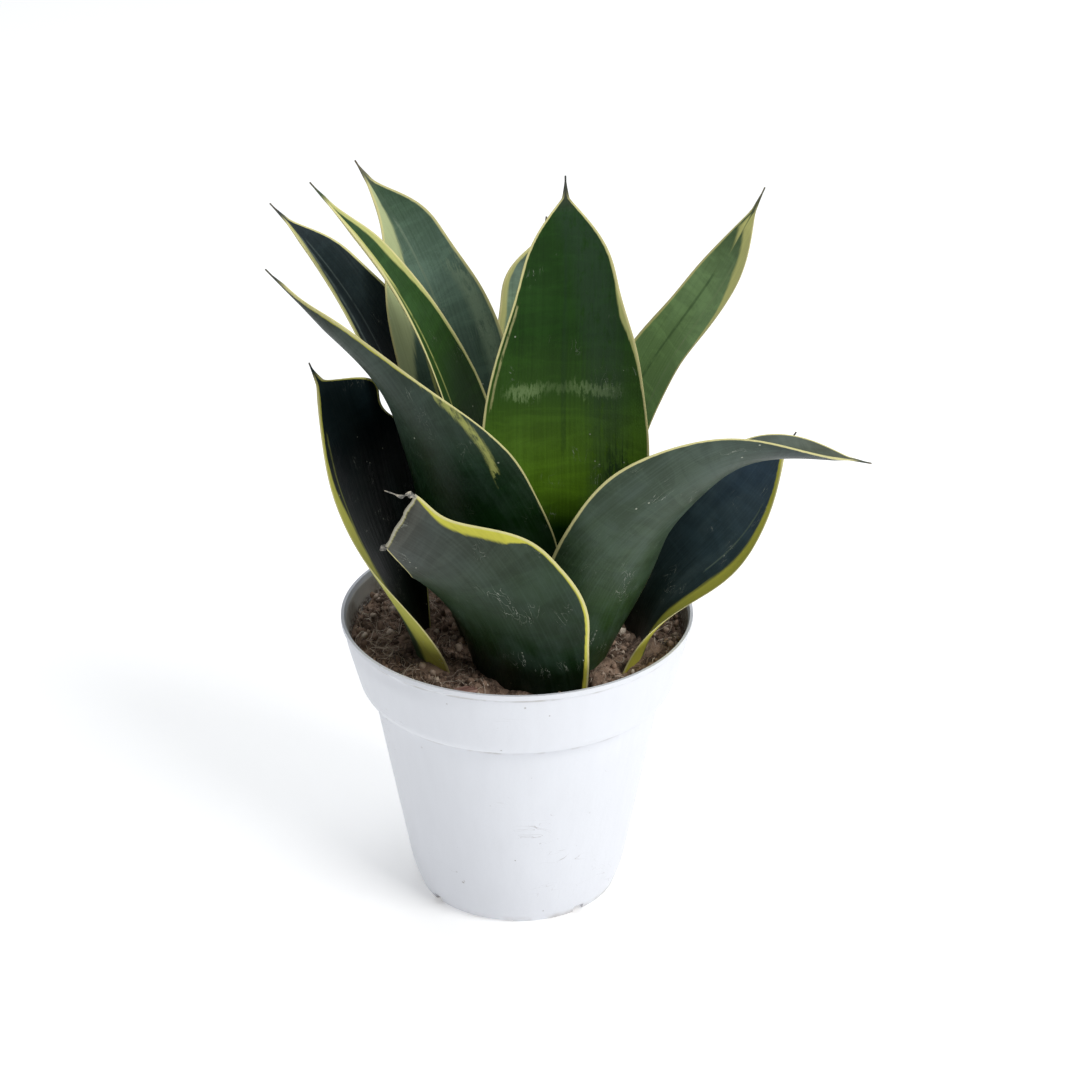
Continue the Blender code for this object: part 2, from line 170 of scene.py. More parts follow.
@dataclass
class Skin:
    """A mesh in the making, in millimetres, with numbers kept at its vertices."""

    points: np.ndarray
    faces: list[tuple[int, ...]]
    marks: dict[str, np.ndarray] = field(default_factory=dict)

    def to_object(self, name: str, material: bpy.types.Material) -> bpy.types.Object:
        """Make the object, smooth and dressed.

        Args:
            name: Name of the object and of its mesh.
            material: Its one material.

        Returns:
            The object, at the origin.
        """
        mesh = bpy.data.meshes.new(name)
        mesh.from_pydata((self.points * MM).tolist(), [], self.faces)
        mesh.shade_smooth()
        for mark, values in self.marks.items():
            layer = mesh.attributes.new(mark, "FLOAT", "POINT")
            layer.data.foreach_set("value", np.ascontiguousarray(values, dtype=np.float32).ravel())
        mesh.materials.append(material)
        return placed(name, mesh)


def strip_faces(rows: int, columns: int, closed: bool) -> np.ndarray:
    """Quads between the rows of a grid, wound so that row direction comes second.

    Args:
        rows: Number of rows.
        columns: Points in a row.
        closed: True if a row is a ring.

    Returns:
        Vertex numbers, four for each quad.
    """
    i = np.arange(rows - 1)[:, None] * columns
    j = np.arange(columns if closed else columns - 1)[None, :]
    k = (j + 1) % columns
    return np.stack((i + j, i + k, i + columns + k, i + columns + j), axis=-1).reshape(-1, 4)


def zipped_ring(first: int, count: int, flip: bool) -> list[tuple[int, ...]]:
    """Close a flat ring by joining each point to the one across it.

    Args:
        first: Number of the ring's first vertex, which lies on an edge of the blade.
        count: Even number of points in the ring.
        flip: True to turn the faces over.

    Returns:
        The faces, triangles at the two edges and quads between.
    """
    half = count // 2
    faces: list[tuple[int, ...]] = [(0, count - 1, 1), (half - 1, half + 1, half)]
    faces += [(j, count - j, count - j - 1, j + 1) for j in range(1, half - 1)]
    if flip:
        faces = [face[::-1] for face in faces]
    return [tuple(first + corner for corner in face) for face in faces]


def tube_faces(stations: int, ring: int) -> list[tuple[int, ...]]:
    """Faces of a flat tube whose two ends are closed across.

    Args:
        stations: Number of rings.
        ring: Points in each ring.

    Returns:
        The faces.
    """
    faces = [tuple(face) for face in strip_faces(stations, ring, True).tolist()]
    return faces + zipped_ring(0, ring, False) + zipped_ring((stations - 1) * ring, ring, True)


# ----------------------------------------------------------------------------------------------
# Shader expressions
# ----------------------------------------------------------------------------------------------

class Signal:
    """A number that varies over a surface: a node's output, with arithmetic."""

    def __init__(self, shop: PaintShop, socket: bpy.types.NodeSocket) -> None:
        """Wrap an output socket of the shop's node tree."""
        self.shop = shop
        self.socket = socket

    def _math(self, operation: str, *values: Signal | float) -> Signal:
        """Add one Math node.

        Args:
            operation: Its operation.
            values: Its inputs in order.

        Returns:
            Its result.
        """
        node = self.shop.node("ShaderNodeMath", {"operation": operation}, dict(enumerate(values)))
        return Signal(self.shop, node.outputs[0])

    def __add__(self, other: Signal | float) -> Signal:
        """Sum."""
        return self._math("ADD", self, other)

    def __radd__(self, other: float) -> Signal:
        """Sum with a number in front."""
        return self._math("ADD", other, self)

    def __sub__(self, other: Signal | float) -> Signal:
        """Difference."""
        return self._math("SUBTRACT", self, other)

    def __rsub__(self, other: float) -> Signal:
        """Difference from a number."""
        return self._math("SUBTRACT", other, self)

    def __mul__(self, other: Signal | float) -> Signal:
        """Product."""
        return self._math("MULTIPLY", self, other)

    def __abs__(self) -> Signal:
        """Size without sign."""
        return self._math("ABSOLUTE", self)

    def least(self, other: Signal | float) -> Signal:
        """The smaller of two."""
        return self._math("MINIMUM", self, other)

    def most(self, other: Signal | float) -> Signal:
        """The larger of two."""
        return self._math("MAXIMUM", self, other)

    def rise(self, low: Signal | float, high: Signal | float) -> Signal:
        """Climb smoothly from 0 where this is low to 1 where it is high.

        Args:
            low: Where the climb starts.
            high: Where it ends.

        Returns:
            A mask from 0 to 1.
        """
        node = self.shop.node(
            "ShaderNodeMapRange", {"interpolation_type": "SMOOTHSTEP"},
            {"Value": self, "From Min": low, "From Max": high, "To Min": 0.0, "To Max": 1.0})
        return Signal(self.shop, node.outputs["Result"])

    def fall(self, low: Signal | float, high: Signal | float) -> Signal:
        """Drop smoothly from 1 at low to 0 at high."""
        return 1 - self.rise(low, high)


class PaintShop:
    """One material's node tree, and the few ways in which nodes are added to it."""

    def __init__(self, name: str) -> None:
        """Start a material with its Principled shader."""
        self.material = bpy.data.materials.new(name)
        self.material.use_nodes = True
        self.tree = self.material.node_tree
        self.shader = self.tree.nodes["Principled BSDF"]

    def node(self, kind: str, settings: dict[str, object] | None = None,
             inputs: dict[str | int, object] | None = None) -> bpy.types.Node:
        """Add a node.

        Args:
            kind: Node type.
            settings: Its properties, set first; "stops" holds a ramp's places and colours.
            inputs: Value or link for each named or numbered input.

        Returns:
            The node.
        """
        made = self.tree.nodes.new(kind)
        for key, value in (settings or {}).items():
            if key == "stops":
                self._set_stops(made.color_ramp, value)
            else:
                setattr(made, key, value)
        for key, value in (inputs or {}).items():
            self.feed(made.inputs[key], value)
        return made

    def feed(self, target: bpy.types.NodeSocket, value: object) -> None:
        """Link an input to a socket or signal, or set its value."""
        source = value.socket if isinstance(value, Signal) else value
        if isinstance(source, bpy.types.NodeSocket):
            self.tree.links.new(source, target)
        elif target.type == "RGBA":
            target.default_value = (*source, 1.0)
        else:
            target.default_value = source

    @staticmethod
    def _set_stops(ramp: bpy.types.ColorRamp, stops: Stops) -> None:
        """Give a colour ramp its stops."""
        while len(ramp.elements) < len(stops):
            ramp.elements.new(1.0)
        for element, (place, colour) in zip(ramp.elements, stops):
            element.position = place
            element.color = (*colour, 1.0)

    def mark(self, name: str) -> Signal:
        """Read a number that the mesh carries."""
        return Signal(self, self.node("ShaderNodeAttribute", {"attribute_name": name}).outputs["Fac"])

    def position(self) -> bpy.types.NodeSocket:
        """The place on the piece, in millimetres."""
        place = self.node("ShaderNodeTexCoord").outputs["Object"]
        return self.stretch(place, (1 / MM, 1 / MM, 1 / MM))

    def stretch(self, vector: bpy.types.NodeSocket, scale: Point) -> bpy.types.NodeSocket:
        """Multiply a vector by a fixed one."""
        node = self.node("ShaderNodeVectorMath", {"operation": "MULTIPLY"}, {0: vector, 1: scale})
        return node.outputs[0]

    def vector(self, x: Signal | float, y: Signal | float, z: Signal | float) -> bpy.types.NodeSocket:
        """Join three numbers in a vector."""
        return self.node("ShaderNodeCombineXYZ", None, {"X": x, "Y": y, "Z": z}).outputs[0]

    def parts(self, vector: bpy.types.NodeSocket) -> tuple[Signal, Signal, Signal]:
        """Split a vector in its three numbers."""
        outputs = self.node("ShaderNodeSeparateXYZ", None, {0: vector}).outputs
        return Signal(self, outputs[0]), Signal(self, outputs[1]), Signal(self, outputs[2])

    def noise(self, vector: bpy.types.NodeSocket, scale: Point | float, detail: float = 2.0,
              rough: float = 0.5, twist: float = 0.0) -> Signal:
        """Cloudy noise around 0.5.

        Args:
            vector: Where to read it.
            scale: Waves for each unit of the vector, one number or three.
            detail: Number of finer layers.
            rough: Strength of each finer layer.
            twist: How far it folds over itself.

        Returns:
            The noise.
        """
        if isinstance(scale, tuple):
            vector = self.stretch(vector, scale)
            scale = 1.0
        node = self.node("ShaderNodeTexNoise", None, {
            "Vector": vector, "Scale": scale, "Detail": detail, "Roughness": rough, "Distortion": twist})
        return Signal(self, node.outputs["Fac"])

    def cells(self, vector: bpy.types.NodeSocket, scale: float) -> Signal:
        """Distance to the nearest of many scattered points."""
        node = self.node("ShaderNodeTexVoronoi", None, {"Vector": vector, "Scale": scale})
        return Signal(self, node.outputs["Distance"])

    def ramp(self, value: Signal, stops: Stops) -> bpy.types.NodeSocket:
        """Turn a number from 0 to 1 into a colour along smooth stops."""
        return self.node("ShaderNodeValToRGB", {"stops": stops}, {"Fac": value}).outputs["Color"]

    def graph(self, value: Signal, stops: Widths, top: float) -> Signal:
        """Turn a number from 0 to 1 into one from 0 to top, through given places."""
        grey = tuple((place, (height / top,) * 3) for place, height in stops)
        split = self.node("ShaderNodeSeparateColor", None, {0: self.ramp(value, grey)})
        return Signal(self, split.outputs[0]) * top

    def mix(self, share: Signal | float, under: object, over: object) -> bpy.types.NodeSocket:
        """Lay one colour over another.

        Args:
            share: How much of the upper one shows.
            under: Colour or socket.
            over: Colour or socket.

        Returns:
            The mixed colour.
        """
        node = self.node("ShaderNodeMix", {"data_type": "RGBA"}, {0: share, 6: under, 7: over})
        return node.outputs[2]

    def shade(self, colour: object, light: Signal) -> bpy.types.NodeSocket:
        """Multiply a colour by a number."""
        grey = self.node("ShaderNodeCombineColor", None, {0: light, 1: light, 2: light}).outputs[0]
        node = self.node("ShaderNodeMix", {"data_type": "RGBA", "blend_type": "MULTIPLY"},
                         {0: 1.0, 6: colour, 7: grey})
        return node.outputs[2]

    def finish(self, colour: object, roughness: object, height: Signal | None = None, depth: float = 0.0,
               **fixed: float) -> bpy.types.Material:
        """Feed the shader.

        Args:
            colour: Base colour.
            roughness: Roughness.
            height: Relief from 0 to 1, if any.
            depth: What 1 of it stands for, in millimetres.
            fixed: Other shader inputs by name, with underscores for spaces.

        Returns:
            The finished material.
        """
        self.feed(self.shader.inputs["Base Color"], colour)
        self.feed(self.shader.inputs["Roughness"], roughness)
        for key, value in fixed.items():
            self.shader.inputs[key.replace("_", " ")].default_value = value
        if height is not None:
            bump = self.node("ShaderNodeBump", None, {
                "Height": height, "Distance": depth * MM, "Strength": 1.0})
            self.feed(self.shader.inputs["Normal"], bump.outputs["Normal"])
        return self.material


# ----------------------------------------------------------------------------------------------
# Leaf finishes
# ----------------------------------------------------------------------------------------------

class Face(Enum):
    """Which face of a blade a streak lies on."""

    INNER = "inner"
    OUTER = "outer"


@dataclass(frozen=True)
class Streak:
    """A stripe or patch of another tone on a blade.

    run is where it starts and ends along the blade, as shares of its length; lane is where its middle
    lies across the blade at those ends, from -1 to 1; width is in mm, and feather is how far its two
    ends fray, in mm.
    """

    run: tuple[float, float]
    lane: tuple[float, float]
    width: float
    colour: Colour
    strength: float = 0.8
    feather: float = 4.0
    face: Face = Face.INNER


CREAM: Colour = (0.62, 0.58, 0.27)
STRAW: Colour = (0.46, 0.48, 0.15)
YELLOW: Colour = (0.52, 0.50, 0.07)
PALE_GREEN: Colour = (0.20, 0.30, 0.12)
DEEP_GREEN: Colour = (0.012, 0.035, 0.014)
DRY: Colour = (0.16, 0.13, 0.09)
DRY_EDGE: Colour = (0.42, 0.40, 0.31)
SCRATCH: Colour = (0.42, 0.45, 0.38)
DOT: Colour = (0.5, 0.52, 0.42)
LEAF_RELIEF = 0.16
WIDEST_MARGIN = 24.0
FACE_APART = 40.0


class BladeGrain:
    """What a blade's paint reads: the marks that its mesh carries, and the fibres and clouds on them.

    along is the share of the length, side the place across from -1 to 1, reach the half width in mm,
    across the distance from the midrib in mm, and inner 1 on the inner face.
    """

    def __init__(self, shop: PaintShop, length: float) -> None:
        """Read the marks and lay the noises, in mm of the flattened blade."""
        self.shop = shop
        self.length = length
        self.along = shop.mark("along")
        self.side = shop.mark("side")
        self.reach = shop.mark("reach")
        self.inner = shop.mark("inner")
        self.across = self.side * self.reach
        self.place = shop.vector(self.along * length, self.across, self.inner * FACE_APART)
        self.fibre = shop.noise(self.place, (0.02, 1.3, 1.0), detail=3.0)
        self.cloud = shop.noise(self.place, (0.05, 0.09, 1.0), detail=3.0, rough=0.6)


@dataclass(frozen=True)
class LeafFinish:
    """How one blade is coloured.

    inner and outer are the colours of its two faces from foot to tip. left and right are the widths
    of the pale margins at side -1 and side 1 in mm, along the blade.
    """

    inner: Stops
    outer: Stops
    left: Widths
    right: Widths
    margin: Colour = YELLOW
    rim: Colour = CREAM
    streaks: tuple[Streak, ...] = ()
    haze: Colour = (0.08, 0.11, 0.105)
    banding: float = 0.25
    bloom: float = 0.25
    scuffs: float = 0.4
    roughness: float = 0.42
    gloss: float = 0.13
    cut_end: bool = False

    def material(self, name: str, length: float) -> bpy.types.Material:
        """Paint the blade: face tones, fibres, cross bands, bloom, streaks, margins, scuffs and dots.

        Args:
            name: Name of the material.
            length: Length of the blade in mm.

        Returns:
            The material, which reads the marks that the blade carries.
        """
        shop = PaintShop(name)
        grain = BladeGrain(shop, length)
        fibre, cloud = grain.fibre, grain.cloud
        outer, inner = shop.ramp(grain.along, self.outer), shop.ramp(grain.along, self.inner)
        colour = shop.mix(grain.inner, outer, inner)
        bands = shop.noise(grain.place, (0.12, 0.03, 1.0), detail=5.0, rough=0.7, twist=1.2)
        banded = (bands.rise(0.42, 0.62) - 0.5) * self.banding
        light = 1 + (fibre - 0.5) * 0.55 + banded + (cloud - 0.5) * 0.5
        colour = shop.shade(colour, light)
        haze = (cloud.rise(0.42, 0.68) * 0.7 + fibre.rise(0.45, 0.7) * 0.3) * self.bloom
        colour = shop.mix(haze, colour, self.haze)
        tear = shop.noise(grain.place, (0.16, 0.42, 1.0), detail=5.0, rough=0.75)
        for streak in self.streaks:
            colour = self._lay(streak, colour, grain, tear)
        colour, margin = self._edge(colour, grain)
        worn, dots = self._wear(grain)
        colour = shop.mix(worn, colour, SCRATCH)
        colour = shop.mix(dots, colour, DOT)
        pebble = shop.noise(grain.place, 1.6, detail=2.0)
        furrow = shop.noise(grain.place, (0.03, 0.7, 1.0), detail=2.0)
        relief = pebble * 0.35 + furrow * 0.65 + worn * 0.3
        rough = self.roughness + (cloud - 0.5) * 0.25 + (pebble - 0.5) * 0.12 + worn * 0.3 + margin * 0.1
        return shop.finish(colour, rough, relief, LEAF_RELIEF, Specular_IOR_Level=self.gloss)

    @staticmethod
    def _lay(streak: Streak, colour: object, grain: BladeGrain, tear: Signal) -> bpy.types.NodeSocket:
        """Lay one streak: full where the distance from its lane is under half its width, its ends frayed.

        Args:
            streak: What to lay.
            colour: Colour so far.
            grain: What the blade carries.
            tear: Ragged noise.

        Returns:
            The colour with the streak on it.
        """
        start, end = streak.run
        first, last = streak.lane
        lane = (grain.along - start) * ((last - first) / (end - start)) + first
        off = abs(grain.side - lane) * grain.reach
        off = off + (grain.fibre - 0.5) * min(streak.width, 3.0) + (tear - 0.5) * streak.width
        half = streak.width / 2
        body = off.fall(half * 0.4, half * 1.4 + 0.2) * tear.rise(0.3, 0.52)
        ragged = (grain.fibre - 0.5) * 0.9 + (tear - 0.5) * 2.2
        fray = grain.along + ragged * (1.8 * streak.feather / grain.length)
        soft = max(0.3 * streak.feather, 0.6) / grain.length
        ends = fray.rise(start - soft, start + soft) * fray.fall(end - soft, end + soft)
        shown = grain.inner if streak.face is Face.INNER else 1 - grain.inner
        return grain.shop.mix(body * ends * shown * streak.strength, colour, streak.colour)

    def _edge(self, colour: object, grain: BladeGrain) -> tuple[bpy.types.NodeSocket, Signal]:
        """Paint both margins: a pale rim line, then the margin's own colour, frayed on its inner side.

        Args:
            colour: Colour so far.
            grain: What the blade carries.

        Returns:
            The colour with the margins, and their mask.
        """
        shop, along, fibre, cloud = grain.shop, grain.along, grain.fibre, grain.cloud
        from_left = grain.reach + grain.across
        from_right = grain.reach - grain.across
        wander = (fibre - 0.5) * 1.1 + (cloud - 0.5) * 1.2
        left_width = shop.graph(along, self.left, WIDEST_MARGIN)
        right_width = shop.graph(along, self.right, WIDEST_MARGIN)
        left = from_left + wander * (left_width * 0.3 + 0.25)
        right = from_right + wander * (right_width * 0.3 + 0.25)
        left_mask = left.fall(left_width * 0.8, left_width * 1.12 + 0.15)
        right_mask = right.fall(right_width * 0.8, right_width * 1.12 + 0.15)
        margin = left_mask.most(right_mask)
        depth = from_left.least(from_right)
        tone = shop.mix(depth.rise(0.5, 1.1), self.rim, self.margin)
        if self.cut_end:
            end = (along + (fibre - 0.5) * 0.01).rise(0.985, 0.993)
            margin = margin.most(end)
            tone = shop.mix(end, tone, DRY_EDGE)
        else:
            margin = margin * along.fall(0.94, 0.975)
        tone = shop.shade(tone, 1 + (fibre - 0.5) * 0.35 + (cloud - 0.5) * 0.3)
        return shop.mix(margin, colour, tone), margin

    def _wear(self, grain: BladeGrain) -> tuple[Signal, Signal]:
        """Thin wandering scratches, where a noise crosses its middle, and small pale dots.

        Args:
            grain: What the blade carries.

        Returns:
            The masks of the scratches and of the dots.
        """
        shop = grain.shop
        path = shop.noise(grain.place, (0.1, 0.22, 1.0), detail=3.0, twist=1.5)
        where = shop.noise(grain.place, 0.06, detail=2.0)
        worn = abs(path - 0.5).fall(0.001, 0.008) * where.rise(0.56, 0.68) * self.scuffs
        dots = shop.cells(grain.place, 0.21).fall(0.05, 0.075)
        return worn, dots * shop.noise(grain.place, 0.11).rise(0.52, 0.6) * 0.6


# ----------------------------------------------------------------------------------------------
# Leaves
# ----------------------------------------------------------------------------------------------

@dataclass(frozen=True)
class Blade:
    """One leaf blade, with the sizes that its CAD node has.

    spine holds the midrib's points in mm from the plant's foot, heading the compass angle that the
    back faces, twist what is added to it from foot to tip, and fold the half angle of the channel.
    left and right stretch the half width on each side of the midrib, from foot to tip.
    """

    name: str
    heading: float
    spine: tuple[Point, ...]
    twist: tuple[float, ...]
    fold: tuple[float, ...]
    half_width: float
    finish: LeafFinish
    foot_share: float = 0.45
    widest_at: float = 0.45
    taper: float = 1.0
    cut_share: float = 0.0
    left: tuple[float, ...] = (1,)
    right: tuple[float, ...] = (1,)
    ripple: float = 0.35
    origin: Point = (4.0, -4.0, 86.0)
    thickness: float = 1.7
    margin_thickness: float = 0.6
    tip_length: float = 7.0
    tip_half_width: float = 1.0
    stations: int = 190
    ring: int = 88

    @staticmethod
    def _keys(keys: tuple[float, ...], share: np.ndarray) -> np.ndarray:
        """Read evenly spaced keys smoothly at shares of the length."""
        if len(keys) == 1:
            return np.full(len(share), keys[0])
        values = np.array(keys, float)[:, None]
        return natural_spline(np.linspace(0, 1, len(keys)), values, share)[:, 0]

    def frames(self, share: np.ndarray) -> tuple[np.ndarray, np.ndarray, np.ndarray, np.ndarray, float]:
        """Midrib points and the blade's own directions.

        The midrib is a spline read at even distances. The level direction square to the heading is
        made square to the midrib and turned about it by the twist.

        Args:
            share: Shares of the length.

        Returns:
            Points, directions across, along and out of the inner face, and the length in mm.
        """
        spine = np.array(self.spine, float)
        hops = np.linalg.norm(np.diff(spine, axis=0), axis=1)
        knots = np.concatenate(([0], np.cumsum(hops))) / hops.sum()
        fine = np.linspace(0, 1, 400)
        track = natural_spline(knots, spine, fine)
        run = np.concatenate(([0], np.cumsum(np.linalg.norm(np.diff(track, axis=0), axis=1))))
        at = np.interp(share, run / run[-1], fine)
        middle = natural_spline(knots, spine, at)
        step = 0.001
        forward = (natural_spline(knots, spine, np.clip(at + step, 0, 1))
                   - natural_spline(knots, spine, np.clip(at - step, 0, 1)))
        forward /= np.linalg.norm(forward, axis=1)[:, None]
        heading = math.radians(self.heading)
        level = np.array((math.sin(heading), -math.cos(heading), 0))
        across = level - (forward @ level)[:, None] * forward
        across /= np.linalg.norm(across, axis=1)[:, None]
        inward = np.cross(across, forward)
        turn = np.radians(self._keys(self.twist, share))[:, None]
        turned = across * np.cos(turn) - inward * np.sin(turn)
        inward = inward * np.cos(turn) + across * np.sin(turn)
        return middle + np.array(self.origin), turned, forward, inward, float(run[-1])

    def half_widths(self, share: np.ndarray, length: float) -> np.ndarray:
        """Half the width: a sine rise from the foot, then a sine fall to the spine at the tip.

        Args:
            share: Shares of the length.
            length: The length in mm.

        Returns:
            Half widths in mm.
        """
        rising = self.foot_share + (1 - self.foot_share) * np.sin(
            np.pi / 2 * np.clip(share / self.widest_at, 0, 1))
        if self.cut_share:
            beyond = np.clip((share - self.widest_at) / (1 - self.widest_at), 0, 1)
            falling = 1 - (1 - self.cut_share) * (1 - np.cos(np.pi / 2 * beyond)) ** 1.3
            return self.half_width * np.where(share > self.widest_at, falling, rising)
        point = self.tip_length / length
        left = np.clip((1 - point - share) / (1 - point - self.widest_at), 0, 1)
        falling = np.sin(np.pi / 2 * left) ** self.taper
        blade = self.half_width * np.where(share > self.widest_at, falling, rising)
        spine = self.tip_half_width * np.clip((1 - share) / point, 0.3, 1)
        return np.hypot(blade, spine)

    def skin(self) -> Skin:
        """The closed blade.

        Each cross-section is a ring: side = -cos(angle) runs over the inner face and back under the
        outer one, bent on an arc of the fold's angle. The thickness is a thin rim, which rounds off with
        the square root of the sine, and a swelling with its square. The margins ripple along the
        blade, and a cut end is ragged.

        Returns:
            The skin, which carries along, side, reach and inner.
        """
        share = np.linspace(0, 1, self.stations)
        middle, across, forward, inward, length = self.frames(share)
        width = self.half_widths(share, length)
        angle = np.linspace(0, 2 * np.pi, self.ring, endpoint=False)[None, :]
        side = -np.cos(angle)
        over = np.sin(angle)
        fold = np.radians(self._keys(self.fold, share))[:, None]
        bend = fold * side
        left, right = self._keys(self.left, share), self._keys(self.right, share)
        reach = width[:, None] * np.where(side < 0, left[:, None], right[:, None])
        slim = np.clip(width / 4, 0.35, 1)[:, None]
        swell = self.margin_thickness * np.sqrt(np.abs(over))
        swell = swell + (self.thickness - self.margin_thickness) * over ** 2
        lift = np.sign(over) * swell * slim / 2
        x = reach * np.sin(bend) / fold - lift * np.sin(bend)
        z = reach * (1 - np.cos(bend)) / fold + lift * np.cos(bend)
        z = z + self._ripples(share, length, side)
        ragged = self._ragged(share, side) if self.cut_share else np.zeros_like(x)
        points = (middle[:, None] + across[:, None] * x[..., None] + inward[:, None] * z[..., None]
                  + forward[:, None] * ragged[..., None])
        shape = x.shape
        marks = {
            "along": np.broadcast_to(share[:, None], shape).ravel(),
            "side": np.broadcast_to(side, shape).ravel(),
            "reach": np.broadcast_to(reach, shape).ravel(),
            "inner": np.broadcast_to((over > 1e-6) + 0.5 * (np.abs(over) <= 1e-6), shape).ravel(),
        }
        return Skin(points.reshape(-1, 3), tube_faces(self.stations, self.ring), marks)

    def _ripples(self, share: np.ndarray, length: float, side: np.ndarray) -> np.ndarray:
        """Lift of the rippled margins: noise along the blade, times the square of the side.

        Args:
            share: Shares of the length.
            length: The length in mm.
            side: Places across, from -1 to 1.

        Returns:
            Lift in mm at each station and place.
        """
        seed = len(self.name)
        run = share * length
        rows = np.stack((run, np.full_like(run, 3.3), np.full_like(run, self.heading)), axis=-1)
        left = lattice_noise(rows, 17.0, seed)
        right = lattice_noise(rows, 14.0, seed + 50)
        fade = smooth_step(share, 0.12, 0.35) * smooth_step(1 - share, 0.02, 0.15)
        wave = np.where(side < 0, (left * fade)[:, None], (right * fade)[:, None])
        return self.ripple * wave * side ** 2

    def _ragged(self, share: np.ndarray, side: np.ndarray) -> np.ndarray:
        """How far a cut end is torn back at each place, in mm, nothing away from the end."""
        row = np.stack((side[0] * 9, np.zeros(side.shape[1]), np.zeros(side.shape[1])), axis=-1)
        tear = rough_noise(row, 2.6, 5) * 0.35 - 0.2
        return smooth_step(share, 0.93, 1.0)[:, None] * tear[None, :]

    def build(self) -> bpy.types.Object:
        """Make the blade, dress it and let it stand for its CAD node.

        Returns:
            The object.
        """
        length = self.frames(np.array((0.0, 1.0)))[4]
        paint = self.finish.material(self.name + "_skin", length)
        piece = self.skin().to_object(self.name + "_blade", paint)
        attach(piece, BODY)
        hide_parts(self.name)
        return piece

    def corner(self, side: float, share: float = 1.0) -> np.ndarray:
        """A point on the blade's middle surface.

        Args:
            side: Place across, from -1 to 1.
            share: Share of the length.

        Returns:
            The point in mm.
        """
        middle, across, _, inward, length = self.frames(np.array((share, share)))
        stretch = self._keys(self.left if side < 0 else self.right, np.array((share,)))[0]
        width = self.half_widths(np.array((share, share)), length)[0] * stretch
        fold = math.radians(float(self._keys(self.fold, np.array((share,)))[0]))
        x = width * math.sin(fold * side) / fold
        z = width * (1 - math.cos(fold * side)) / fold
        return middle[0] + across[0] * x + inward[0] * z


